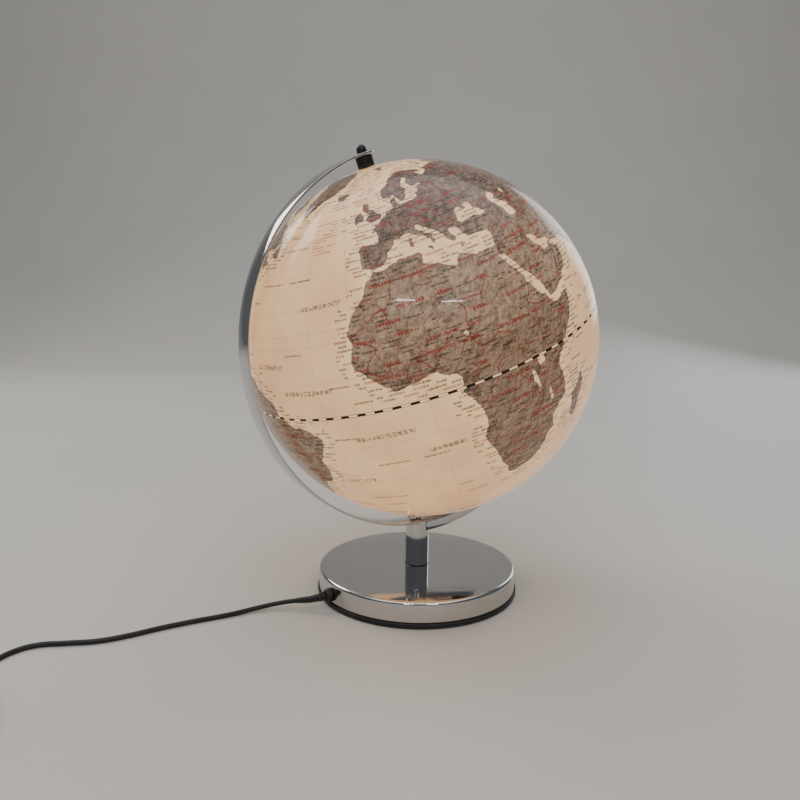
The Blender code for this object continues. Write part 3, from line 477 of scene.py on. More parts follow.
# ---- the map -------------------------------------------------------------------------------
# Outlines in degrees: longitude and latitude of each turn of a coast.
LAND = """
-6 35.8, -2 35.2, 3 36.8, 8 37, 10 37.3, 11 36.9, 10.2 34.2, 11.2 33.2, 15.2 32.3, 17 31,
19.5 30.4, 20.1 31.5, 21.8 32.9, 23.2 32.3, 25 31.6, 29 30.9, 31 31.5, 32.4 31.1, 32.6 29.9,
33.6 27.9, 35.5 24, 37.2 21, 37.3 18.9, 38.6 18, 39.7 15.1, 42.5 12.6, 43.3 11.5, 44.5 10.4,
47.5 11.1, 51.2 11.9, 51 10.2, 49.5 7.2, 47.8 4.3, 44.2 1.5, 42 -1, 40.2 -2.7, 39.2 -5,
39.5 -7.2, 40.5 -10.6, 40.6 -15, 37 -17.8, 34.9 -20, 35.5 -23.8, 32.8 -25.8, 32.8 -28,
31 -30, 28 -32.8, 25.6 -34, 20 -34.8, 18.4 -34.2, 18.2 -32, 16.5 -28.6, 14.9 -25, 14.4 -22.5,
12.5 -18.6, 11.8 -16, 13.6 -12.2, 13.2 -8.8, 12.2 -6, 11 -3.8, 9 -1, 9.5 1, 9.8 3, 9 4.2,
7 4.4, 5.5 4.9, 4.4 6.3, 2 6.3, -1 5.1, -3 5.1, -7.6 4.4, -10.5 6.6, -13.2 9, -15 11,
-16.8 12.5, -17.5 14.7, -16.3 17, -16.2 19.5, -17 21, -15.9 23.8, -14.5 26.2, -12.5 28,
-9.9 29.8, -9.6 31.3, -8.4 33.3, -6.8 34.2;
49.3 -12.1, 50.4 -15.6, 49 -19, 47.2 -24.9, 45.2 -25.5, 43.5 -23, 44.4 -20, 44 -16.8,
46.3 -15.7;
-5.6 36, -6.4 36.9, -8.9 37, -9.4 38.8, -8.8 41.5, -9.2 43.1, -8 43.7, -4 43.4, -1.6 43.4,
-1.2 45.5, -2.2 47.2, -4.6 48.4, -1.6 48.7, -1.8 49.7, 0.2 49.5, 1.6 50.8, 4 51.7, 5 53.2,
8.2 53.6, 8.2 56.8, 10.5 57.6, 10.3 55.5, 10.9 54, 14.3 54, 18.6 54.6, 21 55.3, 21.2 57,
24 57.2, 24.4 58.3, 23.6 59.2, 28 59.6, 30 59.9, 28 60.6, 23 60, 21.4 61.5, 22.5 63.6,
25.3 65, 22.3 65.8, 21 64.5, 18 62.8, 17.2 61, 18.9 60, 16.6 58.4, 16 56.4, 14.2 55.5,
12.9 55.6, 11.4 58.6, 10.5 59.2, 8 58.1, 5.7 58.8, 5 61, 6.5 63, 10.5 64.5, 13 66.5,
15.5 68.4, 20 70, 25.8 71, 30.8 70.3, 33 69.4, 40.6 67, 40 66.2, 34 66.7, 34.8 64.5, 37 64,
40 64.6, 44 66, 44.2 68.3, 47 67.8, 54 68.4, 60 68.8, 65 69.2, 68.2 68.4, 67 71.5, 69.5 73,
73 71.5, 73.5 67.8, 75 72.3, 81 73.5, 87 75, 98 76.2, 104 77.6, 113 76, 108 73.5, 114 73.6,
124 73.7, 129 71.2, 131.5 71.5, 140 72.6, 152 71, 160 69.6, 170 69.8, 177 69, 190 66,
187 64.4, 179 64.8, 179.5 62.4, 170 60, 163.4 58.5, 163 56, 159.8 53, 156.7 51, 155.7 56.5,
163.6 61.6, 156 61.6, 151 59.2, 142 59.2, 135.3 54.7, 141 53.2, 140.2 48.5, 135.4 44.5,
132 43.2, 129.7 41, 127.6 39.5, 129.4 37, 129 35.2, 126.4 34.5, 126.7 37.3, 124.8 39.7,
121.5 38.9, 121.5 40.8, 118 39.1, 119 37.3, 122.4 37.2, 119.4 35, 121.8 31.8, 121.8 29,
119.5 25.8, 116.5 23, 113.5 22.2, 110.2 21, 108 21.6, 105.7 19, 107.6 16.4, 109.3 13,
107.2 10.5, 104.9 8.7, 104.7 10.6, 102.5 12, 100.9 13.4, 99.3 10.5, 100.5 7.2, 103.4 4.2,
104.2 1.4, 101.3 2.8, 100.2 6, 98.3 8.4, 98.5 12, 97.6 16.5, 94.3 16, 92 21.8, 90.4 22.4,
87 21.4, 85.6 19.7, 82.3 16.6, 80.2 15.5, 80 11.5, 78 8.4, 76.3 9.6, 74.6 13.9, 72.8 19,
72.6 21.2, 70 20.8, 69 22.3, 67.2 24.8, 61.6 25.2, 57.3 25.7, 56.6 27.1, 52.6 27.5, 50 30.1,
48 30, 48.5 28, 50.2 26.5, 51 25.8, 51.6 24.2, 54.5 24.2, 56.3 26.2, 56.6 24.5, 58.6 23.6,
59.8 22.4, 57.8 19, 55.2 17.4, 52.2 15.6, 48.7 14, 45 12.8, 43.5 12.7, 42.8 15.5, 42.4 17,
40.8 19.8, 39 21.8, 38 24, 35.5 27.8, 34.9 29.5, 34.3 27.9, 32.8 29.8, 32.5 31.2, 34.3 31.3,
35.1 33.2, 36 35.8, 36.1 36.8, 33.8 36.2, 30.6 36.8, 27.6 36.7, 26.4 38.5, 26.2 40, 29 41,
31.5 41.3, 35 42, 38.4 41, 41.6 41.6, 37.5 44.7, 38.3 46.8, 35 46.2, 35.4 45.2, 33.5 44.5,
32.6 45.6, 33 46.1, 30.8 46.5, 29.6 45, 28.6 43.5, 28 41.9, 29 41.2, 26.5 40.6, 24 40.8,
22.8 40.5, 23 39.2, 24 38, 22.8 36.6, 21.3 37.8, 20 39.6, 19.4 41.6, 16.2 43.4, 14 45.2,
12.4 45.4, 12.4 44.2, 13.6 43.5, 15.9 41.9, 18.4 40.2, 16.8 40.4, 17.1 39, 15.8 38, 15.7 40,
12.4 41.7, 10.4 43.2, 8.8 44.4, 6 43.1, 3.2 43.2, 3.2 41.9, 0 39.9, -0.4 38.4, -2.1 36.8;
-168 65.7, -162 66.5, -166 68.5, -156.6 71.3, -141 69.7, -128 70, -115 68, -108 67.8,
-95 67.8, -95 71.8, -90 69, -86 67.5, -82 69.5, -81.3 67.8, -87 65, -94 61.5, -94.6 58.8,
-92.5 57, -85 55.3, -82.3 53, -80 51.3, -79 54, -77 56.5, -78.5 58.8, -77.5 62.4, -73.6 62.3,
-70 61, -69.5 59, -66 58.8, -64.5 60.3, -61.8 57, -57 53, -55.8 52.2, -60 50.2, -66.5 50.2,
-71 47, -65 48.8, -64.5 46.3, -61 45.5, -65.5 43.6, -66.8 44.8, -70.6 43.2, -70 41.7,
-74 40.5, -75.5 36, -78 34, -81.2 31.3, -80 26.6, -81 25.2, -82.7 28, -84 30, -89.4 30,
-94.5 29.4, -97.3 27.5, -97.8 22.4, -96 19, -94.4 18.2, -91 18.8, -90.3 21, -87 21.4,
-88 17.8, -86 15.9, -83.3 15, -83.7 11, -81 8.9, -79.6 9.5, -77.4 8.6, -78.2 7.4, -80.2 7.4,
-83 8.4, -85.7 10, -87.6 13, -92 14.5, -96 15.8, -101 17.5, -105.5 20.2, -105.6 22.6,
-109.4 25.8, -112.3 29, -114.7 31.6, -112.8 28, -110.6 24.4, -109.5 23, -112 25, -115 28.5,
-117 32.5, -120.6 34.5, -123.8 39.5, -124.2 43, -124.6 48.3, -122.5 48.3, -127.5 51.5,
-130.5 54.8, -134.5 58, -140 59.8, -147 61, -151.5 59.4, -154 59, -158 56.5, -164 54.7,
-161 56, -157.5 58.8, -162 59, -165.5 61.5, -161 64.4;
-77.4 8.6, -75.5 10.7, -71.7 12.3, -71.6 10.6, -68 11.8, -62 10.6, -59.5 8.2, -54 5.8,
-51.5 4.3, -50 1.5, -50 -0.5, -48 -0.8, -44 -2.6, -40 -2.9, -37 -4.8, -35 -6, -34.8 -8,
-37 -11.3, -39 -14, -39 -17.8, -40.8 -21.5, -42 -23, -46 -24, -48.6 -26.5, -48.8 -28.6,
-52.2 -32.5, -55 -34.8, -58.3 -34, -57 -36.5, -58 -38.4, -62.2 -39, -63.8 -42.5, -67 -45.8,
-65.8 -47.3, -69 -51, -68.4 -53, -66 -55, -71 -54.2, -74.5 -51.5, -75 -47.5, -72.8 -42,
-73.5 -38, -71.5 -32.5, -70.5 -27, -70.4 -18.5, -76 -14.5, -79 -8, -81.2 -5.5, -80.3 -3,
-81 -1, -80 0.8, -78.6 1.8, -77.3 4, -77.7 7;
-44 60, -48.5 61, -51.5 64, -53.8 67.5, -51 69.5, -54.5 71, -58 75, -68 76, -73 78.4,
-62 81.8, -45 82.6, -32 83.5, -20 82, -18 78, -20 75, -22 71.5, -26 70, -30 68, -38 65.5,
-42 62;
-24 65.5, -22.5 66.4, -16 66.5, -13.7 65, -18.5 63.5, -22.6 63.9;
-5.6 50.1, -3.5 50.4, 1.2 51.2, 1.7 52.7, 0 53.5, -1.8 55.7, -3.2 56, -2 57.6, -3.3 58.6,
-5.1 58.5, -5.8 56.6, -4.8 54.8, -3 54, -4.4 53, -5 51.8, -3 51.4;
-6.2 52.2, -6 54, -7.4 55.3, -10 54.2, -9.8 51.7;
-59.3 47.7, -53.2 46.7, -53.5 49, -55.6 51.4;
-66 62, -72 63, -78 65, -72.5 67.8, -85 70, -89 72.5, -80 73.7, -72 71.3, -61.5 66.7;
-72 83, -90 81.8, -88 78.2, -78 76.4, -76 79;
-117 73, -104 73, -103 69, -115 69;
-84.8 21.9, -82 23.2, -77.5 22, -74.2 20.2, -77.7 19.9;
-74.3 18.3, -73 19.9, -69.8 19.6, -68.4 18.5, -71.6 17.8;
114 -22, 113.6 -26, 115.6 -31.8, 115 -34.3, 118 -35, 124 -33, 131 -31.5, 135 -34.7,
138 -33.5, 140 -37.8, 144.5 -38.4, 147 -38.6, 150 -37, 153 -31.5, 153.3 -26, 149.5 -22,
146 -18.9, 145.3 -15, 142.5 -10.8, 141.5 -14, 140.8 -17.5, 136 -15.2, 136.8 -12.2,
132.5 -11.4, 129.8 -14.8, 126.5 -14, 122.2 -17.8;
145 -41, 148 -41, 147.8 -43, 146 -43.5;
131 -0.8, 134 -0.9, 135 -3.3, 138 -1.7, 145 -4.4, 147.5 -6.5, 150.5 -10.4, 144 -7.8, 141 -9,
138 -8.2, 133 -4;
109 1.6, 111 2, 113 3.2, 117 7, 119 5.2, 117.6 1, 116 -3.8, 111 -3.2, 110 -1.3;
95.4 5.6, 98 4.2, 104 -1, 106 -3, 105.6 -5.9, 102.3 -4, 98.7 1.7;
105.2 -6.6, 108.5 -6.6, 114.4 -7.8, 114.4 -8.7, 108 -7.8;
119.5 -0.5, 120.8 1.2, 125 1.5, 121 0.4, 121 -1, 123.4 -0.9, 121.6 -2, 122.8 -4.5, 120.4 -3,
119.6 -5.5;
120.5 18.5, 122.2 18.4, 121.6 15.8, 124 13, 120.6 13.9, 119.9 16.2;
122 7, 125.5 9.7, 126.4 7, 125.4 5.8;
130 31.3, 131.8 33.8, 135.6 33.6, 139 34.8, 140.8 35.8, 141.9 39.5, 141.3 41.3, 140 40,
136.8 37, 132.6 35.4, 130 33.4;
140 41.6, 143.2 42, 145.5 43.3, 141.7 45.4, 140.4 43.3;
142 46, 143.6 49, 143 54.2, 142 52;
79.8 8, 80.2 9.7, 81.8 7.5, 80.6 6;
121.5 25.1, 120.1 23.3, 120.8 22;
172.8 -34.6, 178.4 -37.8, 175.3 -41.5, 173.8 -39.3, 174.7 -37;
172.7 -40.6, 174.2 -41.7, 170.7 -45.9, 168.4 -46.6, 166.5 -46;
-180 -90, -180 -78, -160 -78, -150 -77, -135 -74.5, -105 -74, -75 -73, -66 -67, -58 -63.3,
-61 -70, -62 -76, -40 -78, -20 -73.5, 0 -70, 30 -69.5, 55 -66.2, 80 -68, 95 -66.5, 135 -66,
160 -69.5, 165 -77, 180 -78, 180 -90;
11 79, 16 80, 27 80, 17 76.6;
52 71, 57 70.7, 56 73.2, 68.5 77, 60 76, 54 73;
12.5 38, 15.6 38.2, 15.1 36.7;
8.2 41, 9.5 43, 9.7 41, 9.5 39.1, 8.4 39;
23.6 35.5, 26.3 35.3, 24 35;
32.3 35, 34.5 35.6, 33.6 34.7
"""
WATER = """
47.5 43, 47 44.7, 49 46.5, 51.5 46.9, 53 46.5, 53 45, 51.2 44.5, 50.3 44.4, 52.6 42.6,
54.7 41.2, 53 40, 53.8 37.2, 51 36.8, 49 37.6, 49.3 40.3, 48.6 41.8;
58.5 44.5, 61.5 44.5, 61 46.5, 59 46;
31.7 -0.3, 34.1 -0.1, 33.9 -2.3, 31.9 -2.7;
29 -3.2, 29.8 -3.3, 31.4 -8.5, 30.5 -8.9, 29.2 -6;
33.8 -9.5, 34.7 -10, 35.4 -14.3, 34.5 -13.8;
35.8 4.7, 36.5 4.5, 36.8 2.4, 36 2.5;
13.3 13.8, 14.9 13.9, 14.9 12.5, 13.7 12.7;
104 51.6, 108 52.5, 109.8 55.6, 107.5 53;
-92 46.7, -88 48.6, -84.6 46.6, -88 46.8;
-87.8 42, -87.3 45.6, -85.5 45.6, -86.4 42;
-84 46, -80.3 45.5, -82.3 43.2, -83.5 44.5;
-83.3 41.7, -79 42.8, -81 41.7
"""
# Middles of each country, or of each part of a large one; a country is one item.
COUNTRIES = """
-6 32; -13 25; -10 20; 2 28, 3 34, 6 24; 9.5 35; 14 30, 17 27, 22 28; 28 28, 31 25;
28 20, 33 19, 30 14, 26 13; 29 8, 32 7; 18 17, 18 11; 9 18, 6 14, 13 17; -2 19, -6 14, 1 18;
-1.5 12.5; -14.5 14.5; -11 10.5; -11.8 8.5; -9.5 6.5; -5.5 7.5; -1.2 7.8; 0.9 8.5; 2.3 9.5;
8 9.5, 5 8, 11 11.5; 12 5.5, 13.5 8.5; 20 7, 24 7; 11.5 -0.8; 15.5 -0.5, 13.5 -3;
22 -2, 25 -6, 19 -5, 24 2, 27 -10; 32.5 1.5; 38 0.5; 39.5 9, 43.5 7, 37 11; 38.5 15.5;
46 5, 48 9.5, 44 2; 34.5 -6, 37 -8; 30 -2.5; 18 -12, 16 -16, 20 -14; 26.5 -14.5, 30 -11.5;
34 -13; 38 -14, 35 -18.5, 33.5 -22; 30 -19; 24 -22; 17 -21, 17.5 -26; 23 -31, 28 -28.5,
20 -30; -8 39.7; -4 40, -1 41; 2.5 47, 4 45; -2 53; -8 53; 5 51; 10 51; 8 46.8;
12 43, 15 41, 9.5 45.3; 14 47.5; 15.5 49.8; 19.5 52; 9.5 56; 8 61, 14 66.5, 24 69.8;
15 60, 17.5 65, 14 57; 26 62.5, 27 67; 25 57, 24 55.3; 28 53.5; 31 49, 36 48.5, 26 49.5;
25 45.8; 19.5 47; 16.5 44.8, 21 44; 25.3 42.7; 22 39.3; 20 41; 32 39, 38 39, 28 39;
38 56, 45 60, 34 62, 45 52, 55 56, 42 46, 60 62, 75 60, 90 60, 100 66, 115 60, 130 64,
140 56, 150 64, 165 65, 75 68, 95 54, 108 55; 43.5 42; 48 40.3; 38.3 35; 35.3 32; 36.8 31;
43.5 33; 53 33, 48 36.5, 59 35, 57 29, 60 27.5; 44 25, 40 27.5, 48 22, 42 20; 46 15.7;
57 20.5; 54.3 23.5; 47.6 29.4; 59 39.5; 64 41.5, 59 43.5; 67 48, 54 47.5, 77 47.5; 74.5 41.5;
71 38.5; 66 34; 68.5 28, 72 32.5; 77 27, 79 22, 77 16, 78 11, 74 25, 85 23.5, 93 26;
84 28.2; 90 24; 96 21; 101 15.5; 103 19; 105 12.5; 106 21.5, 108 14.5; 102.3 4;
104 35, 87 41, 88 32, 97 36, 112 28, 115 35, 122 43, 126 46, 108 24.5, 118 42;
103 46.8, 95 47.5, 112 46.8; 127 40; 128 36.5; -110 57, -95 55, -75 52, -125 57, -120 65,
-100 65, -65 49; -100 40, -85 38, -115 40, -75 43, -95 32, -118 46; -152 65;
-102 24, -98 18; -90 15.4; -85.3 13.2; -83.8 10; -80.3 8.5; -73.5 4; -66 7.5; -59 5; -56 4;
-53 4; -55 -10, -45 -8, -62 -5, -50 -20, -60 -10, -68 -6, -41 -15, -53 -28, -40 -6;
-78.5 -1.5; -75 -8, -72 -14, -74 -4; -64.5 -17; -58.5 -23.5; -56 -33;
-65 -35, -62 -28, -68 -45, -69 -50; -71.5 -30, -72.5 -40, -70 -22, -73.5 -48;
125 -25, 121 -30; 133 -20; 135 -30; 145 -22; 147 -33; 144 -37
"""


def read_places(text):
    """Splits a list of places into arrays of (longitude, latitude)."""
    return [np.array([[float(v) for v in place.split()] for place in group.split(",")
                      if place.strip()]) for group in text.split(";")]


def on_sphere(lonlat):
    """Unit vectors in the globe's own frame: +Z north, +X at the longitude FIRST_MERIDIAN."""
    lon = np.radians(lonlat[:, 0]) - FIRST_MERIDIAN
    lat = np.radians(lonlat[:, 1])
    return np.stack([np.cos(lat) * np.cos(lon), np.cos(lat) * np.sin(lon), np.sin(lat)], 1)


def inside_outline(lon, lat, outline):
    """Which places lie inside an outline, also where it passes the date line."""
    within = np.zeros(len(lon), bool)
    low, high = outline.min(0), outline.max(0)
    for shift in (0.0, 360.0):
        near = np.flatnonzero((lon + shift > low[0]) & (lon + shift < high[0])
                              & (lat > low[1]) & (lat < high[1]))
        x, y = lon[near] + shift, lat[near]
        hit = np.zeros(len(near), bool)
        for (x0, y0), (x1, y1) in zip(outline, np.roll(outline, -1, 0)):
            if y0 != y1:
                cross = (y0 > y) != (y1 > y)
                hit ^= cross & (x < x0 + (y - y0) * (x1 - x0) / (y1 - y0))
        within[near] |= hit
    return within


def coast_distance(spots, lon, lat, text):
    """Distance in degrees from the nearest outline up to a reach, positive inside it."""
    reach = math.radians(8.0)
    best = np.full(len(spots), reach, np.float32)
    inside = np.zeros(len(spots), bool)
    for outline in read_places(text):
        inside |= inside_outline(lon, lat, outline)
        corners = on_sphere(outline).astype(np.float32)
        stretch = 6
        for first in range(0, len(corners), stretch):
            run = corners[[i % len(corners) for i in range(first, first + stretch + 1)]]
            middle = run.mean(0)
            wide = np.linalg.norm(run - middle, axis=1).max() + reach
            near = np.flatnonzero(((spots - middle) ** 2).sum(1) < wide ** 2)
            if len(near) == 0:
                continue
            for a, b in zip(run, run[1:]):
                along = b - a
                way = spots[near] - a
                share = np.clip(way @ along / max(along @ along, 1e-9), 0.0, 1.0)
                gap = np.sqrt(((way - share[:, None] * along) ** 2).sum(1))
                best[near] = np.minimum(best[near], gap)
    return np.degrees(best) * np.where(inside, 1.0, -1.0)


def border_fields(spots):
    """Three signed fields; a border runs where one of them passes zero."""
    groups = [on_sphere(group) for group in read_places(COUNTRIES)]
    middles = [group.mean(0) for group in groups]
    tint = []
    for i, group in enumerate(groups):
        near = {tint[j] for j in range(i)
                if min(np.linalg.norm(a - b) for a in group for b in groups[j]) < 0.34}
        tint.append(next(k for k in (*range(8), i % 8) if k not in near or k == i % 8))
    reach = np.stack([np.min([np.linalg.norm(spots - seed, axis=1) for seed in group], 0)
                      for group in groups])
    fields = []
    for bit in range(3):
        on = np.array([(t >> bit) & 1 == 1 for t in tint])
        fields.append(np.degrees(reach[on].min(0) - reach[~on].min(0)))
    return fields


def store(mesh, name, values):
    field = mesh.attributes.new(name, "FLOAT", "POINT")
    field.data.foreach_set("value", np.asarray(values, np.float32))


def print_map(obj):
    """Writes the coast and border distances into the skin, still upright at the origin."""
    mesh = obj.data
    spots = np.empty(len(mesh.vertices) * 3, np.float32)
    mesh.vertices.foreach_get("co", spots)
    spots = spots.reshape(-1, 3)
    spots /= np.linalg.norm(spots, axis=1)[:, None]
    x, y, z = spots.T
    wander = 0.010
    bent = spots + wander * np.stack([np.sin(23 * y + 5 * z) + 0.6 * np.sin(61 * z + 9 * x),
                                      np.sin(27 * z + 4 * x) + 0.6 * np.sin(57 * x + 8 * y),
                                      np.sin(25 * x + 6 * y) + 0.6 * np.sin(63 * y + 7 * z)], 1)
    lon = np.degrees(np.arctan2(y, x) + FIRST_MERIDIAN)
    lon = (lon + 180.0) % 360.0 - 180.0
    lat = np.degrees(np.arcsin(np.clip(z, -1, 1)))
    land = coast_distance(spots, lon, lat, LAND)
    lakes = coast_distance(spots, lon, lat, WATER)
    store(mesh, "coast", np.minimum(land, -lakes))
    for index, field in enumerate(border_fields(bent.astype(np.float32))):
        store(mesh, "border_%d" % index, field)


SEA_PEACH = rgb(236, 196, 160)
SEA_CREAM = rgb(246, 212, 168)
LAND_DRY = rgb(142, 118, 102)
LAND_GREEN = rgb(112, 86, 66)
LAND_NORTH = rgb(70, 50, 46)
INK_RED = rgb(126, 34, 24)
INK_DARK = rgb(26, 20, 17)
# Strength of the map's painted glow, which stands in for the bulb's light through the shell.
GLOW = 0.62


class MapPaint(Paint):
    """The printed map: measures on the globe are in millimetres along its surface."""

    def __init__(self, name):
        super().__init__(name)
        east = (math.cos(AXIS_TILT), 0.0, math.sin(AXIS_TILT))
        axis = (-math.sin(AXIS_TILT), 0.0, math.cos(AXIS_TILT))
        spot = self.vector("SUBTRACT", self.place, tuple(CENTRE))
        x = self.vector("DOT_PRODUCT", spot, east, "Value") / GLOBE_R
        y = self.vector("DOT_PRODUCT", spot, (0.0, 1.0, 0.0), "Value") / GLOBE_R
        z = self.vector("DOT_PRODUCT", spot, axis, "Value") / GLOBE_R
        self.degree = GLOBE_R / MM * math.radians(1.0)
        self.lon = y.maths("ARCTAN2", y, x) * math.degrees(1.0) + math.degrees(FIRST_MERIDIAN)
        level = z.maths("ARCSINE", z)
        self.lat = level * math.degrees(1.0)
        self.squeeze = level.maths("COSINE", level)

    def line(self, value, width):
        """1 on a line of that width where the value, in millimetres, is near zero."""
        return abs(value).below(width / 2, 0.10)

    def grid(self, angle, step, shrink=None):
        """Lines at each step of an angle."""
        off = ((angle + step / 2) % step) - step / 2
        if shrink is not None:
            off = off * shrink
        return self.line(off * self.degree, 0.34)

    def words(self, row, cell, letter, high, share, seed):
        """Rows of small strokes set like lines of print, and a random number for each word.
        share is how many places are filled."""
        level = self.lat / row + seed * 0.37
        line = level.floor()
        up = level - line
        middle = (line + (0.5 - seed * 0.37)) * row
        shrink = middle.maths("COSINE", middle * math.radians(1.0))
        along = self.lon * shrink + self.random(line, seed, 3.0) * 37.0
        word = (along / cell).floor()
        dice = self.split(self.random(word, line, seed, "Color"))
        inside = (along / cell - word) < (dice[1] * 0.55 + 0.35)
        glyph = (along / letter).floor()
        part = along / letter - glyph
        tall = self.random(glyph, line, seed + 0.5)
        ink = self.random(glyph * 3 + (part * 3).floor(), line * 3 + (up * 3 / high).floor(),
                          seed + 0.7) < 0.78
        body = (abs(up - 0.5) < (tall * 0.20 * high + 0.32 * high)) * (part < 0.80)
        return (dice[0] < share) * inside * body * ink, dice[2]


def map_print(name):
    """Glossy translucent print over a shell lit from inside, its glow painted as emission: cream
    sea, taupe land, borders and rows of small print, a graticule and a dashed equator."""
    paint = MapPaint(name)
    coast = paint.attribute("coast")
    rough = paint.noise(70, 6, 0.62)
    detail = paint.noise(260, 4, 0.6)
    shore = coast + (rough - 0.5) * 1.7 + (detail - 0.5) * 1.3
    land = shore.above(0.0, 0.10)
    shoal = shore.below(-0.05, 0.05) * shore.above(-2.2, 1.8)
    rim = paint.line(shore * paint.degree - 0.15, 0.75)

    # Relief: one noise seen from two near places gives lit and shaded slopes.
    near = paint.vector("ADD", paint.place, (0.0011, 0.0004, -0.0008))
    slopes = (paint.noise(56, 8, 0.60) - paint.noise(56, 8, 0.60, near)) * 6.0
    ridges = (paint.noise(170, 5, 0.66) - paint.noise(170, 5, 0.66, near)) * 3.4
    relief = paint.step(slopes + ridges, -1.0, 1.0, 0.0, 1.0)
    far_north = paint.step(paint.lat + (rough - 0.5) * 16, 32, 52, 0.0, 1.0)
    desert = paint.step(abs(paint.lat - 22.0), 4, 17, 1.0, 0.0)
    plain = paint.mix(desert, LAND_GREEN, LAND_DRY)
    ground = paint.mix(far_north, plain, LAND_NORTH)
    shaded = paint.mix(relief, paint.mix(0.60, ground, rgb(44, 32, 26)),
                       paint.mix(0.22, ground, rgb(250, 230, 210)))
    tone = paint.noise(26, 3, 0.5)
    sea = paint.mix(paint.step(tone, 0.35, 0.65, 0.0, 1.0), SEA_PEACH, SEA_CREAM)
    sea = paint.mix(shoal * 0.40, sea, rgb(255, 232, 190))
    colour = paint.mix(land, sea, shaded)
    colour = paint.mix(rim * 0.45, colour, rgb(84, 62, 44))

    # Graticule, tropics and polar circles.
    net = 1 - (1 - paint.grid(paint.lon, 15.0, paint.squeeze)) * (1 - paint.grid(paint.lat, 10.0))
    colour = paint.mix(net * 0.36, colour, rgb(92, 78, 64))
    tropic = paint.line((abs(paint.lat) - 23.4) * paint.degree, 0.4) * ((paint.lon % 1.6) < 0.9)
    polar = paint.line((abs(paint.lat) - 66.6) * paint.degree, 0.4) * ((paint.lon % 3.6) < 2.0)
    colour = paint.mix((tropic + polar) * 0.55, colour, rgb(70, 58, 50))

    # Country borders: a red line where a field changes sign, on land only.
    border = None
    for index in range(3):
        field = paint.attribute("border_%d" % index)
        near_line = paint.line((field + (detail - 0.5) * 1.2) * paint.degree, 0.95)
        border = near_line if border is None else border + near_line
    border = border.above(0.5, 0.3) * shore.above(0.25, 0.1)
    colour = paint.mix(border * 0.72, colour, INK_RED)

    # Small print: dense on the land, spilling over the coasts into the sea, thin at sea.
    by_coast = coast.above(-4.2, 0.8) * coast.below(2.2, 0.5)
    small, kind = paint.words(1.15, 6.4, 0.50, 0.64, 0.86, 1.0)
    fine, _ = paint.words(1.15, 5.6, 0.42, 0.46, 0.30, 2.0)
    bold, _ = paint.words(3.4, 10.5, 0.85, 0.34, 0.46, 3.0)
    names, _ = paint.words(7.5, 26.0, 1.5, 0.20, 0.30, 4.0)
    sparse, _ = paint.words(5.0, 13.0, 0.55, 0.13, 0.22, 5.0)
    open_sea = coast.below(-5.0, 0.5)
    inland = coast.above(1.0, 0.4)
    mainly_black = kind < 0.74
    ink_black = small * by_coast * mainly_black + fine * inland + sparse * open_sea
    ink_red = small * by_coast * (1 - mainly_black) + bold * inland
    list_box = (abs(paint.lon + 24.5) < 5.6) * (abs(paint.lat - 50.5) < 5.4)
    listed, _ = paint.words(1.0, 9.0, 0.5, 0.55, 0.97, 6.0)
    colour = paint.mix((ink_black > 0.5) * 0.84, colour, INK_DARK)
    colour = paint.mix((names * open_sea > 0.5) * 0.62, colour, INK_DARK)
    colour = paint.mix((ink_red > 0.5) * 0.80, colour, INK_RED)
    colour = paint.mix(listed * list_box * 0.80, colour, INK_RED)

    # Equator: a ribbon of alternating dashes between two hairlines.
    height = abs(paint.lat) * paint.degree
    ribbon = height.below(0.85, 0.06)
    dark_dash = (paint.lon % 5.0) < 2.5
    edge = paint.line(height - 0.85, 0.42)
    colour = paint.mix(ribbon, colour, paint.mix(dark_dash, rgb(244, 220, 184), rgb(22, 17, 14)))
    colour = paint.mix(edge * 0.9, colour, rgb(38, 30, 24))

    smudge = paint.noise(24, 3, 0.5).above(0.56, 0.2)
    # Painted glow: the print's colours, warmed, are emitted to stand in for the bulb's light
    # shining through the shell.
    painted_glow = paint.mix(1.0, colour, (1.0, 0.80, 0.58, 1.0), "MULTIPLY")
    ripple = paint.noise(34, 2, 0.5)
    paint.set(Base_Color=colour, Roughness=0.24 + smudge * 0.08, Emission_Color=painted_glow,
              Emission_Strength=GLOW, Normal=paint.bump(ripple, 0.06, 0.0010),
              Specular_IOR_Level=0.25, Coat_Weight=0.36, Coat_Roughness=0.03, Coat_IOR=1.45)
    return paint.material


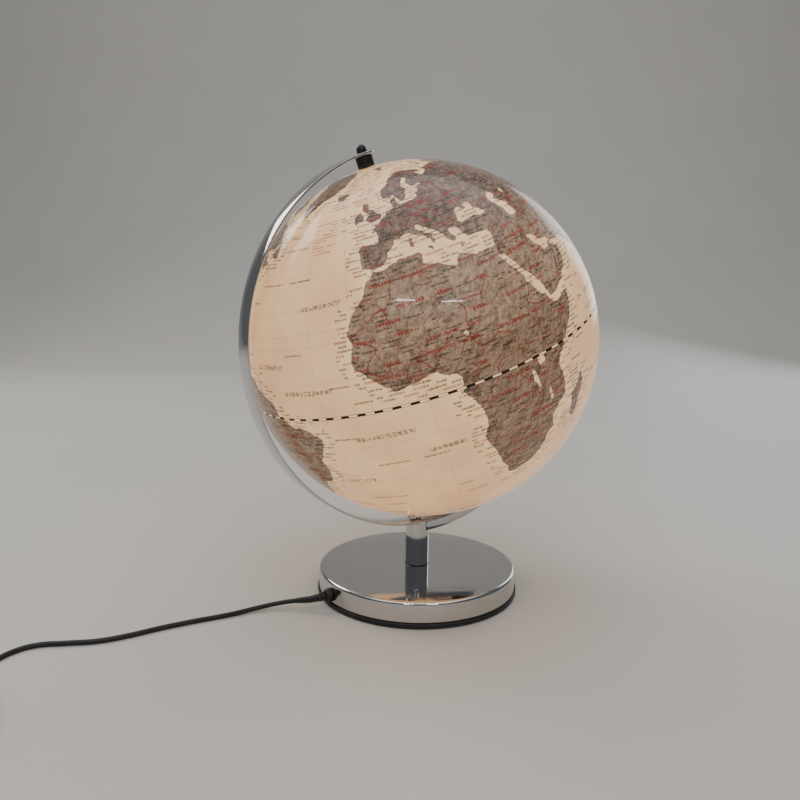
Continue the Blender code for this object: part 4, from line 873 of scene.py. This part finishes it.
# ---- globe ---------------------------------------------------------------------------------
def make_skin(name, side, node, hole, material):
    """Half of the shell. side is +1 for the north; hole is the radius of its pole hole."""
    gap = 0.00012
    skin_depth = 0.0004
    inner_rings = 12
    obj = primitive("uv_sphere", segments=128, ring_count=90, radius=GLOBE_R)
    edit(obj)
    bisect((0, 0, side * gap), (0, 0, side), clear_inner=True)
    top = side * math.sqrt(GLOBE_R ** 2 - hole ** 2)
    bisect((0, 0, top), (0, 0, side), clear_outer=True, threshold=1e-7)
    close_edit()
    mouth = max(math.hypot(v.co.x, v.co.y) for v in obj.data.vertices
                if abs(v.co.z - top) < 2e-6)
    edit(obj)
    # The rim turns in by the wall, and the inner face climbs in rings to the pole hole.
    inner = GLOBE_R - GLOBE_WALL
    pick(obj, lambda middle, along: abs(middle.z - side * gap) < 1e-6, "EDGE")
    last = math.asin(hole / inner)
    rings = []
    for ring in range(inner_rings + 1):
        level = (math.pi / 2 - last) * ring / inner_rings
        rings.append((inner * math.cos(level), side * max(gap, inner * math.sin(level))))
    rings.append((mouth, top))
    radius, height = math.sqrt(GLOBE_R ** 2 - gap ** 2), side * gap
    for wide, tall in rings:
        share = wide / radius
        bpy.ops.mesh.extrude_edges_move()
        bpy.ops.transform.resize(value=(share, share, 1.0), center_override=(0, 0, 0))
        bpy.ops.transform.translate(value=(0, 0, tall - height))
        radius, height = wide, tall
    close_edit()
    outward(obj)
    # The outer face is split finer, and its new points are put back on the sphere.
    edit(obj)
    pick(obj, lambda middle, normal: middle.length > GLOBE_R - skin_depth
         and normal.dot(middle) > 0.9 * GLOBE_R)
    bpy.ops.mesh.subdivide(number_cuts=3)
    close_edit()
    spots = np.empty(len(obj.data.vertices) * 3)
    obj.data.vertices.foreach_get("co", spots)
    spots = spots.reshape(-1, 3)
    reach = np.linalg.norm(spots, axis=1)
    skin = reach > GLOBE_R - skin_depth
    spots[skin] *= (GLOBE_R / reach[skin])[:, None]
    obj.data.vertices.foreach_set("co", spots.ravel())
    print_map(obj)
    fit(obj, name, "globe", "globe_print", material, node, angle=40, way=AXIS_FRAME)


lit_map = map_print("lit map print")
make_skin("globe_skin_north", 1, "north_shell", 0.0064, lit_map)
make_skin("globe_skin_south", -1, "south_shell", 0.0092, lit_map)


# ---- base and stem -------------------------------------------------------------------------
def make_base():
    """The dished disc with its rounded edge, and the foot ring under it."""
    edge = 0.003
    wall_low = 0.0047
    wall = 0.0015
    bore = STEM_R + 0.0002
    corner = arc_points((BASE_R - edge, BASE_TOP - edge), edge, 90, 0, 8)
    shell = turned([(bore, BASE_TOP), (0.030, BASE_TOP), (0.060, BASE_TOP)] + corner + [
        (BASE_R, wall_low + 0.0006), (BASE_R - 0.0005, wall_low), (BASE_R - wall, wall_low),
        (BASE_R - wall, BASE_TOP - edge), (BASE_R - wall - 0.0018, BASE_TOP - wall),
        (bore, BASE_TOP - wall)], 192)
    fit(shell, "base_disc", "stand", "chrome", chrome, "base_shell", angle=30)

    low = 0.0004
    high = 0.0044
    out = BASE_R + 0.0012
    inside = BASE_R - 0.0100
    ring = turned([
        (inside, high), (out - 0.0006, high), (out - 0.0001, high - 0.0005),
        (out, high - 0.0010), (out, low + 0.0006), (out - 0.0006, low), (inside, low)], 192)
    fit(ring, "base_foot_ring", "stand", "black_plastic", black_moulded, "base_ring", angle=30)


def make_stem():
    """The tube, its head cut to the arc's outer radius."""
    wall = 0.0012
    foot = BASE_TOP + 0.0003
    head = BASE_TOP + 0.041
    tube = turned([
        (STEM_R - wall, head), (STEM_R - 0.0003, head), (STEM_R, head - 0.0003),
        (STEM_R, 0.050), (STEM_R, 0.036), (STEM_R, foot + 0.0003), (STEM_R - 0.0003, foot),
        (STEM_R - wall, foot)], 128)
    saddle = primitive("cylinder", vertices=256, radius=ARC_OUT + 0.0003,
                       depth=2 * (ARC_HALF + 0.0003), location=CENTRE,
                       rotation=(math.pi / 2, 0, 0))
    cut(tube, saddle)
    fit(tube, "stem", "stand", "chrome", chrome, "stem_tube", angle=30)


# ---- arc and its cover ---------------------------------------------------------------------
def polar(angle):
    """The outward direction at an angle in the XZ plane, and the direction of turning."""
    return (Vector((math.cos(angle), 0, math.sin(angle))),
            Vector((-math.sin(angle), 0, math.cos(angle))))


def arc_strip(low, high, half, start, end, steps, tip_start, tip_end):
    """A strip between two radii, bent round the globe's centre from one angle to another,
    with straight tips of the given lengths at its ends."""
    obj = scaled("plane", (high - low, 2 * half, 1.0))
    middle = (low + high) / 2
    radial, ahead = polar(start)
    turn = Matrix((radial, Vector((0, 1, 0)), ahead)).transposed().to_4x4()
    place(obj, Matrix.Translation(CENTRE + middle * radial) @ turn)
    edit(obj)
    select_all()
    if tip_start:
        bpy.ops.transform.translate(value=-tip_start * ahead)
        extrude(tip_start * ahead)
    bpy.ops.mesh.spin(steps=steps, angle=end - start, center=CENTRE, axis=(0, 1, 0))
    if tip_end:
        extrude(tip_end * polar(end)[1])
    close_edit()
    outward(obj)
    return obj


def round_tip(obj, pole, radius, way):
    """Rounds the corners of a strip's straight tip; way is +1 past its end angle and -1
    before its start angle."""
    spoke, ahead = polar(pole)
    half_width = max(abs(v.co.y) for v in obj.data.vertices)

    def at_corner(middle, along):
        if along.length < 1e-7 or abs(along.normalized().dot(spoke)) < 0.9999:
            return False
        reach = middle - CENTRE
        return way * reach.dot(ahead) > 0.7 * radius and reach.dot(spoke) > 0 \
            and abs(abs(reach.y) - half_width) < 1e-5

    edit(obj)
    pick(obj, at_corner, "EDGE")
    bpy.ops.mesh.bevel(offset=radius, segments=14, affect="EDGES", clamp_overlap=False)
    close_edit()


def make_arc():
    """The band from pole to pole, and the tray below it."""
    strip = arc_strip(ARC_IN, ARC_OUT, ARC_HALF, NORTH, SOUTH, 180, ARC_HALF, ARC_HALF)
    round_tip(strip, NORTH, ARC_HALF - 0.0001, -1)
    round_tip(strip, SOUTH, ARC_HALF - 0.0001, 1)
    ease(strip, 0.00035, 3)
    fit(strip, "arc", "stand", "chrome", chrome, "meridian_arc", angle=30)

    # The lead's cover: a tray under the arc, from the stem to just past the south pole.
    depth = ARC_OUT + 0.0066
    wall = 0.0011
    tray = arc_strip(ARC_IN + 0.0002, depth, COVER_HALF, FOOT + 0.004, SOUTH, 40, 0.0,
                     COVER_HALF)
    round_tip(tray, SOUTH, COVER_HALF - 0.0001, 1)
    hollow = arc_strip(ARC_IN - 0.004, depth - wall, COVER_HALF - wall, FOOT - 0.01, SOUTH, 40,
                       0.0, COVER_HALF - wall)
    round_tip(hollow, SOUTH, COVER_HALF - wall - 0.0001, 1)
    cut(tray, hollow)
    stem_way = primitive("cylinder", vertices=96, radius=STEM_R + 0.0003, depth=0.06,
                         location=(0, 0, BASE_TOP + 0.035))
    cut(tray, stem_way)
    ease(tray, 0.0003, 2, 40)
    fit(tray, "arc_lead_cover", "stand", "chrome", chrome, "arc_cover", angle=30)


# ---- pole fittings -------------------------------------------------------------------------
def ribbed(obj, low, high, count, depth):
    """Presses upright flutes into the side faces of a turned piece between two heights."""
    edit(obj)
    step = 2 * math.pi / count

    def in_flute(middle, normal):
        if not low < middle.z < high or abs(normal.z) > 0.3:
            return False
        return (math.atan2(middle.y, middle.x) / step) % 1.0 < 0.5

    pick(obj, in_flute)
    bpy.ops.mesh.inset(thickness=0.00008, depth=-depth, use_boundary=True)
    close_edit()


def make_pole_fittings():
    """Both ribbed bushes, the cap nut on the north pin and the nut of the south nipple."""
    bush_r = 0.00685
    bore = 0.0034
    seat = GLOBE_R + 0.0001
    top = ARC_IN - 0.0005
    bush = turned([
        (bore, top), (bush_r - 0.0009, top), (bush_r, top - 0.0009), (bush_r, seat + 0.0021),
        (bush_r, seat + 0.0006), (bush_r - 0.0004, seat), (bore, seat)])
    ribbed(bush, seat + 0.0022, top - 0.0010, 24, 0.0004)
    fit(bush, "north_pole_bush", "globe", "black_plastic", black_moulded, "north_bush",
        angle=30, way=AXIS_FRAME)

    low = ARC_OUT + 0.0003
    high = 0.1681
    dome_r = 0.0040
    nut_r = 0.00425
    dome = arc_points((0.0, high - dome_r), dome_r, 90, 8, 10)
    dome[0] = (ON_AXIS, high)
    nut = turned([(ON_AXIS, low)] + dome + [
        (nut_r, low + 0.0013), (nut_r, low + 0.0004), (dome_r, low)])
    fit(nut, "north_cap_nut", "stand", "black_plastic", black_satin, "cap_nut", angle=40,
        way=AXIS_FRAME)

    bush_r = 0.0096
    bore = 0.0055
    end = GLOBE_R + 0.0060
    collar = turned([
        (bore, -seat), (bush_r - 0.0004, -seat), (bush_r, -seat - 0.0005),
        (bush_r, -end + 0.0007), (bush_r - 0.0007, -end), (bore, -end)])
    ribbed(collar, -end + 0.0008, -seat - 0.0006, 32, 0.0004)
    fit(collar, "south_pole_bush", "globe", "black_plastic", black_moulded, "south_bush",
        angle=30, way=AXIS_FRAME)

    # Hexagon nut that locks the hollow nipple in the arc.
    across = 0.014
    spot = (0, 0, -0.1581)
    nut = primitive("cylinder", vertices=6, radius=across / math.sqrt(3), depth=0.0030,
                    location=spot)
    cut(nut, primitive("cylinder", vertices=64, radius=0.0051, depth=0.01, location=spot))
    ease(nut, 0.00045)
    fit(nut, "south_lock_nut", "stand", "zinc", zinc, "pivot_nut", angle=30, way=AXIS_FRAME)


# ---- cord ----------------------------------------------------------------------------------
CORD_TO_SWITCH = [
    (-0.0943, 0.0000, 0.0110), (-0.0990, 0.0004, 0.0107), (-0.1052, 0.0034, 0.0094),
    (-0.1145, 0.0120, 0.0072), (-0.1250, 0.0190, 0.0052), (-0.1420, 0.0245, 0.0030),
    (-0.1668, 0.0266, 0.0020), (-0.1940, 0.0300, 0.0020), (-0.2200, 0.0320, 0.0020),
    (-0.2440, 0.0322, 0.0020), (-0.2650, 0.0350, 0.0020), (-0.2870, 0.0445, 0.0020),
    (-0.3050, 0.0520, 0.0020), (-0.3180, 0.0510, 0.0020), (-0.3310, 0.0435, 0.0020),
    (-0.3430, 0.0300, 0.0026), (-0.3512, 0.0150, 0.0052), (-0.3545, -0.0007, 0.0077)]
CORD_TO_COIL = [
    (-0.3545, -0.0593, 0.0077), (-0.3554, -0.0668, 0.0058), (-0.3592, -0.0742, 0.0036),
    (-0.3663, -0.0794, 0.0023), (-0.3745, -0.0811, 0.0021), (-0.3820, -0.0813, 0.0021)]
CORD_TO_PLUG = [
    (-0.4185, -0.0364, 0.0135), (-0.4185, -0.0290, 0.0123), (-0.4185, -0.0190, 0.0087),
    (-0.4185, -0.0103, 0.0070)]
COIL_PLACE = (-0.3970, -0.0560)
COIL_R = 0.0215
COIL_TURNS = 10.25
SWITCH_PLACE = (-0.3545, -0.0300)
PLUG_PLACE = (-0.4185, 0.0080)


def coil_turns():
    """Turns wound three wide and four high; each turn steps aside over a sixth of a turn."""
    pitch = 2 * CORD_R
    slots = []
    for row in range(4):
        columns = (1, 0, -1) if row % 2 == 0 else (-1, 0, 1)
        slots += [(COIL_R + pitch * column, CORD_R + 0.0005 + pitch * row, row)
                  for column in columns]
    per_turn = 24
    points = []
    for step in range(int(COIL_TURNS * per_turn) + 1):
        turn = step / per_turn
        now = slots[int(turn)]
        following = slots[min(int(turn) + 1, len(slots) - 1)]
        begin = 5 / 6 if following[2] == now[2] else 4 / 6
        share = min(1.0, max(0.0, (turn % 1.0 - begin) * 6))
        share = share * share * (3 - 2 * share)
        radius = now[0] + (following[0] - now[0]) * share
        height = now[1] + (following[1] - now[1]) * share
        angle = -math.pi / 2 - 2 * math.pi * turn
        points.append((COIL_PLACE[0] + radius * math.cos(angle),
                       COIL_PLACE[1] + radius * math.sin(angle), height))
    return points


def run_curve(name, points, depth, thickness=None, detail=6):
    """A smooth round cord through points; thickness scales it point by point."""
    curve = bpy.data.curves.new(name, "CURVE")
    curve.dimensions = "3D"
    curve.bevel_depth = depth
    curve.bevel_resolution = 4
    curve.resolution_u = detail
    curve.use_fill_caps = True
    spline = curve.splines.new("BEZIER")
    spline.bezier_points.add(len(points) - 1)
    for index, (spot, point) in enumerate(zip(points, spline.bezier_points)):
        point.co = spot
        point.handle_left_type = "AUTO"
        point.handle_right_type = "AUTO"
        point.radius = thickness[index] if thickness else 1.0
    return link(name, curve)


def make_relief(name, points, root, tip, length):
    """A ribbed strain relief that tapers along the first stretch of a cord."""
    steps = 25
    spots, widths = [], []
    reach = [0.0]
    for a, b in zip(points, points[1:]):
        reach.append(reach[-1] + math.dist(a, b))
    for step in range(steps):
        share = step / (steps - 1)
        spots.append([float(np.interp(share * length, reach, [p[axis] for p in points]))
                      for axis in range(3)])
        taper = root + (tip - root) * share
        groove = 0.86 if step % 4 == 2 and 2 < step < steps - 2 else 1.0
        widths.append(taper * groove / root)
    obj = run_curve(name, spots, root, widths, 3)
    take(obj)
    bpy.ops.object.convert(target="MESH")
    obj = bpy.context.object
    outward(obj)
    return fit(obj, name, "stand", "black_plastic", black_satin, angle=50)


def rounded_block(size, corner, edge, spot):
    """A block with its four upright corners rounded well and all other edges eased."""
    obj = scaled("cube", size)
    edit(obj)
    pick(obj, lambda middle, along: abs(along.normalized().z) > 0.9, "EDGE")
    bpy.ops.mesh.bevel(offset=corner, segments=10, affect="EDGES")
    close_edit()
    ease(obj, edge, 4)
    place(obj, Matrix.Translation(spot))
    return obj


def make_switch():
    """In-line switch: housings with a parting line and a rocker; make_cords adds its end grommets.
    """
    x, y = SWITCH_PLACE
    length, width, height = 0.058, 0.024, 0.0155
    gap = 0.0003
    half = height / 2
    corner = 0.0085
    lower = rounded_block((width, length, half - gap / 2 - FLOOR_GAP), corner, 0.0009,
                          (x, y, FLOOR_GAP + (half - FLOOR_GAP) / 2))
    fit(lower, "switch_base_half", "stand", "black_plastic", black_moulded, "switch_lower",
        angle=30)
    upper = rounded_block((width, length, half - gap / 2), corner, 0.0016,
                          (x, y, half + gap / 2 + (half - gap / 2) / 2))
    window = primitive("cube", size=1.0, location=(x, y, height - 0.002))
    window.scale = (0.0096, 0.0150, 0.009)
    cut(upper, window)
    ease(upper, 0.0003, 2, 50)
    fit(upper, "switch_top_half", "stand", "black_plastic", black_moulded, "switch_upper",
        angle=30)

    # The rocker's top is hollowed across its middle and raised at both ends.
    rocker = scaled("cube", (0.0090, 0.0130, 0.0075))
    edit(rocker)
    for level in (-0.0036, 0.0, 0.0036):
        bisect((0, level, 0), (0, 1, 0))
    pick(rocker, lambda middle, along: middle.z > 0.0037 and abs(middle.y) < 0.0001, "EDGE")
    bpy.ops.transform.translate(value=(0, 0, -0.0009))
    pick(rocker, lambda middle, along: middle.z > 0.0036 and abs(middle.y) > 0.0064, "EDGE")
    bpy.ops.transform.translate(value=(0, 0, 0.0004))
    close_edit()
    ease(rocker, 0.0004, 3, 20)
    pivot = Matrix.Translation((x, y, 0.0120))
    tilt = Matrix.Rotation(math.radians(8.0), 4, "X")
    fit(rocker, "switch_rocker_key", "rocker", "black_plastic", black_satin, "switch_rocker",
        angle=30, way=pivot @ tilt @ Matrix.Translation((0, 0, 0.0006)))


def make_plug():
    """Flat two-pin plug: hexagonal body that narrows to the cord, sleeved pins."""
    x, y = PLUG_PLACE
    length, width, height = 0.036, 0.035, 0.0133
    middle = FLOOR_GAP + height / 2
    pin_step = 0.0093
    sleeve_r = 0.0019
    body = scaled("cube", (width, length, height))
    edit(body)
    for level in (-0.006, 0.006):
        bisect((0, level, 0), (0, 1, 0))
    pick(body, lambda spot, normal: spot.y < -length / 2 + 1e-5, "VERT")
    bpy.ops.transform.resize(value=(0.34, 1.0, 0.80), center_override=(0, -length / 2, 0))
    pick(body, lambda spot, normal: spot.y > length / 2 - 1e-5, "VERT")
    bpy.ops.transform.resize(value=(0.86, 1.0, 0.96), center_override=(0, length / 2, 0))
    close_edit()
    ease(body, 0.0022, 5, 12)
    fit(body, "plug_moulding", "stand", "black_plastic", black_moulded, "plug_body", angle=40,
        way=Matrix.Translation((x, y, middle)))
    face = y + length / 2
    for index, side in ((1, -1), (2, 1)):
        way = Matrix.Translation((x + side * pin_step, face, middle)) \
            @ Matrix.Rotation(-math.pi / 2, 4, "X")
        sleeve = turned([(ON_AXIS, 0.0100), (0.0015, 0.0100), (sleeve_r, 0.0097),
                         (sleeve_r, -0.002), (ON_AXIS, -0.002)], 48)
        fit(sleeve, "plug_pin_sleeve_%d" % index, "stand", "black_plastic", black_satin,
            angle=40, way=way)
        tip = [(ON_AXIS, 0.0190)] + arc_points((0.0008, 0.0178), 0.0012, 80, 0, 6)
        pin = turned(tip + [(0.0020, 0.0104), (0.0018, 0.0101), (ON_AXIS, 0.0101)], 48)
        fit(pin, "plug_pin_metal_%d" % index, "stand", "brass", brass, "plug_pin_%d" % index,
            angle=40, way=way)


def make_tie():
    """A strap round the coil with its small buckle."""
    x = COIL_PLACE[0]
    y = COIL_PLACE[1] + COIL_R
    wide, tall = 0.0127, 0.0160
    strap = scaled("cube", (0.0050, wide, tall - 0.0001))
    edit(strap)
    pick(strap, lambda middle, normal: abs(normal.x) > 0.9)
    bpy.ops.mesh.delete(type="ONLY_FACE")
    pick(strap, lambda middle, along: abs(along.normalized().x) > 0.9, "EDGE")
    bpy.ops.mesh.bevel(offset=0.0020, segments=8, affect="EDGES")
    close_edit()
    modify(strap, "SOLIDIFY", thickness=0.00035, offset=-1.0)
    fit(strap, "coil_strap", "stand", "black_plastic", black_satin, angle=40,
        way=Matrix.Translation((x, y, tall / 2 + 0.0001)))
    buckle = rounded_block((0.0062, 0.0050, 0.0018), 0.0008, 0.0003, (x, y, tall + 0.0010))
    fit(buckle, "coil_strap_buckle", "stand", "black_plastic", black_moulded, angle=30)


def make_cords():
    """The cord from the gland to the switch, and from the switch through the coil to the plug."""
    first = run_curve("cord_first_run", CORD_TO_SWITCH, CORD_R)
    fit(first, "cord_first_run", "stand", "cord_rubber", sheath, "cord_to_switch")
    second = run_curve("cord_second_run", CORD_TO_COIL + coil_turns() + CORD_TO_PLUG, CORD_R)
    fit(second, "cord_second_run", "stand", "cord_rubber", sheath, "cord_to_coil", "cord_coil",
        "cord_to_plug")
    relief = make_relief("gland_strain_relief", CORD_TO_SWITCH, 0.0036, 0.0023, 0.024)
    grommet_a = make_relief("switch_grommet_1", CORD_TO_SWITCH[::-1], 0.0038, 0.0027, 0.006)
    grommet_b = make_relief("switch_grommet_2", CORD_TO_COIL, 0.0038, 0.0027, 0.006)
    tail = make_relief("plug_strain_relief", CORD_TO_PLUG[::-1], 0.0040, 0.0024, 0.021)
    return first, second, relief, grommet_a, grommet_b, tail


def make_gland():
    """Round gland in the base's wall, its axis along -X."""
    tip = 0.0062
    bore = 0.0020
    flange = 0.00575
    gland = turned([
        (bore, tip - 0.0004), (0.0034, tip - 0.0004), (0.0044, tip - 0.0008),
        (0.0052, tip - 0.0018), (0.00555, tip - 0.0032), (flange, 0.0014), (flange, 0.0006),
        (0.0055, 0.0003), (bore, 0.0003)])
    way = Matrix.Translation((-BASE_R, 0, 0.011)) @ Matrix.Rotation(-math.pi / 2, 4, "Y")
    fit(gland, "cord_gland_nose", "stand", "black_plastic", black_moulded, "cord_gland",
        angle=40, way=way)


# ---- inner pieces keep their solids and get their finish -------------------------------------
INNER = {
    "black_plastic": (black_moulded, "bottom_plate gland_nut north_lock_ring south_lock_ring"),
    "cast_iron": (iron, "base_weight"),
    "zinc": (zinc, "plate_screw_1 plate_screw_2 plate_screw_3 stem_washer stem_nut north_pin "
                   "rocker_pin"),
    "chrome": (chrome, "arc_screw_1 arc_screw_2"),
    "brass": (brass, "stem_foot_plug stem_head_plug pivot_nipple holder_thread bulb_cap"),
    "felt": (felt, "base_pad"),
    "white_plastic": (white_moulded, "holder_cap holder_body bulb_neck inner_lead"),
    "opal_plastic": (opal_glow, "bulb_globe"),
    "globe_print": (white_moulded, "equator_ring"),
}


def finish_inner():
    for material, names in INNER.values():
        for name in names.split():
            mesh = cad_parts[name].data
            mesh.materials.clear()
            mesh.materials.append(material)


# ---- camera, floor and light -----------------------------------------------------------------
def set_camera():
    yaw, pitch, roll = (math.radians(v) for v in (33.546, -7.867, 0.703))
    ahead = Vector((math.sin(yaw) * math.cos(pitch), math.cos(yaw) * math.cos(pitch),
                    math.sin(pitch)))
    right = Vector((math.cos(yaw), -math.sin(yaw), 0.0))
    up = right.cross(ahead)
    right_r = right * math.cos(roll) + up * math.sin(roll)
    up_r = up * math.cos(roll) - right * math.sin(roll)
    data = bpy.data.cameras.new("view")
    data.sensor_width = 36.0
    data.lens = 31.762
    data.clip_start = 0.01
    camera = link("view", data)
    camera.matrix_world = Matrix.Translation((-0.354255, -0.503533, 0.255517)) \
        @ Matrix((right_r, up_r, -ahead)).transposed().to_4x4()
    bpy.context.scene.camera = camera


def area_light(name, spot, size, power, colour=(1.0, 1.0, 1.0)):
    """A rectangular lamp that faces the globe's centre."""
    data = bpy.data.lights.new(name, "AREA")
    data.shape = "RECTANGLE"
    data.size, data.size_y = size
    data.energy = power
    data.color = colour
    lamp = link(name, data)
    lamp.location = spot
    lamp.rotation_euler = (CENTRE - Vector(spot)).to_track_quat("-Z", "Y").to_euler()


def set_stage():
    """The floor that sweeps up behind the globe, the world's light and five lamps."""
    far = 3.5
    floor = primitive("plane", size=2 * far, location=(0, 0, -0.0001))
    floor.name = "floor"
    edit(floor)
    pick(floor, lambda middle, along: middle.y > far - 0.1, "EDGE")
    extrude((0, 0, 3.6))
    pick(floor, lambda middle, along: abs(middle.y - far) < 1e-4 and abs(middle.z) < 0.01, "EDGE")
    bpy.ops.mesh.bevel(offset=1.6, segments=20, affect="EDGES")
    close_edit()
    smooth(floor, 60)
    place(floor, Matrix.Rotation(math.radians(-33.5), 4, "Z"))
    paint = Paint("pale floor")
    cloud = paint.noise(3, 3, 0.5)
    paint.set(Base_Color=paint.mix(cloud, rgb(206, 202, 196), rgb(214, 210, 204)),
              Roughness=0.55 + cloud * 0.1)
    floor.data.materials.append(paint.material)

    world = bpy.data.worlds.new("soft room")
    world.use_nodes = True
    background = world.node_tree.nodes["Background"]
    background.inputs["Color"].default_value = (0.80, 0.84, 0.90, 1.0)
    background.inputs["Strength"].default_value = 0.16
    bpy.context.scene.world = world
    area_light("key", (-0.75, 1.95, 1.7), (1.4, 0.8), 15, (1.0, 0.97, 0.93))
    area_light("side", (2.3, 0.9, 1.0), (1.0, 1.4), 8, (0.92, 0.96, 1.0))
    area_light("top", (-0.3, -0.4, 3.2), (5.0, 5.0), 95)
    area_light("streak_1", (-1.284, -1.320, 1.112), (0.36, 0.030), 2.2)
    area_light("streak_2", (-0.516, -1.776, 1.093), (0.42, 0.030), 2.2)


set_camera()
first_run, second_run, relief, grommet_1, grommet_2, tail = make_cords()
make_gland()
make_switch()
make_plug()
make_tie()
make_base()
make_stem()
make_arc()
make_pole_fittings()
finish_inner()
set_stage()

bpy.context.view_layer.update()
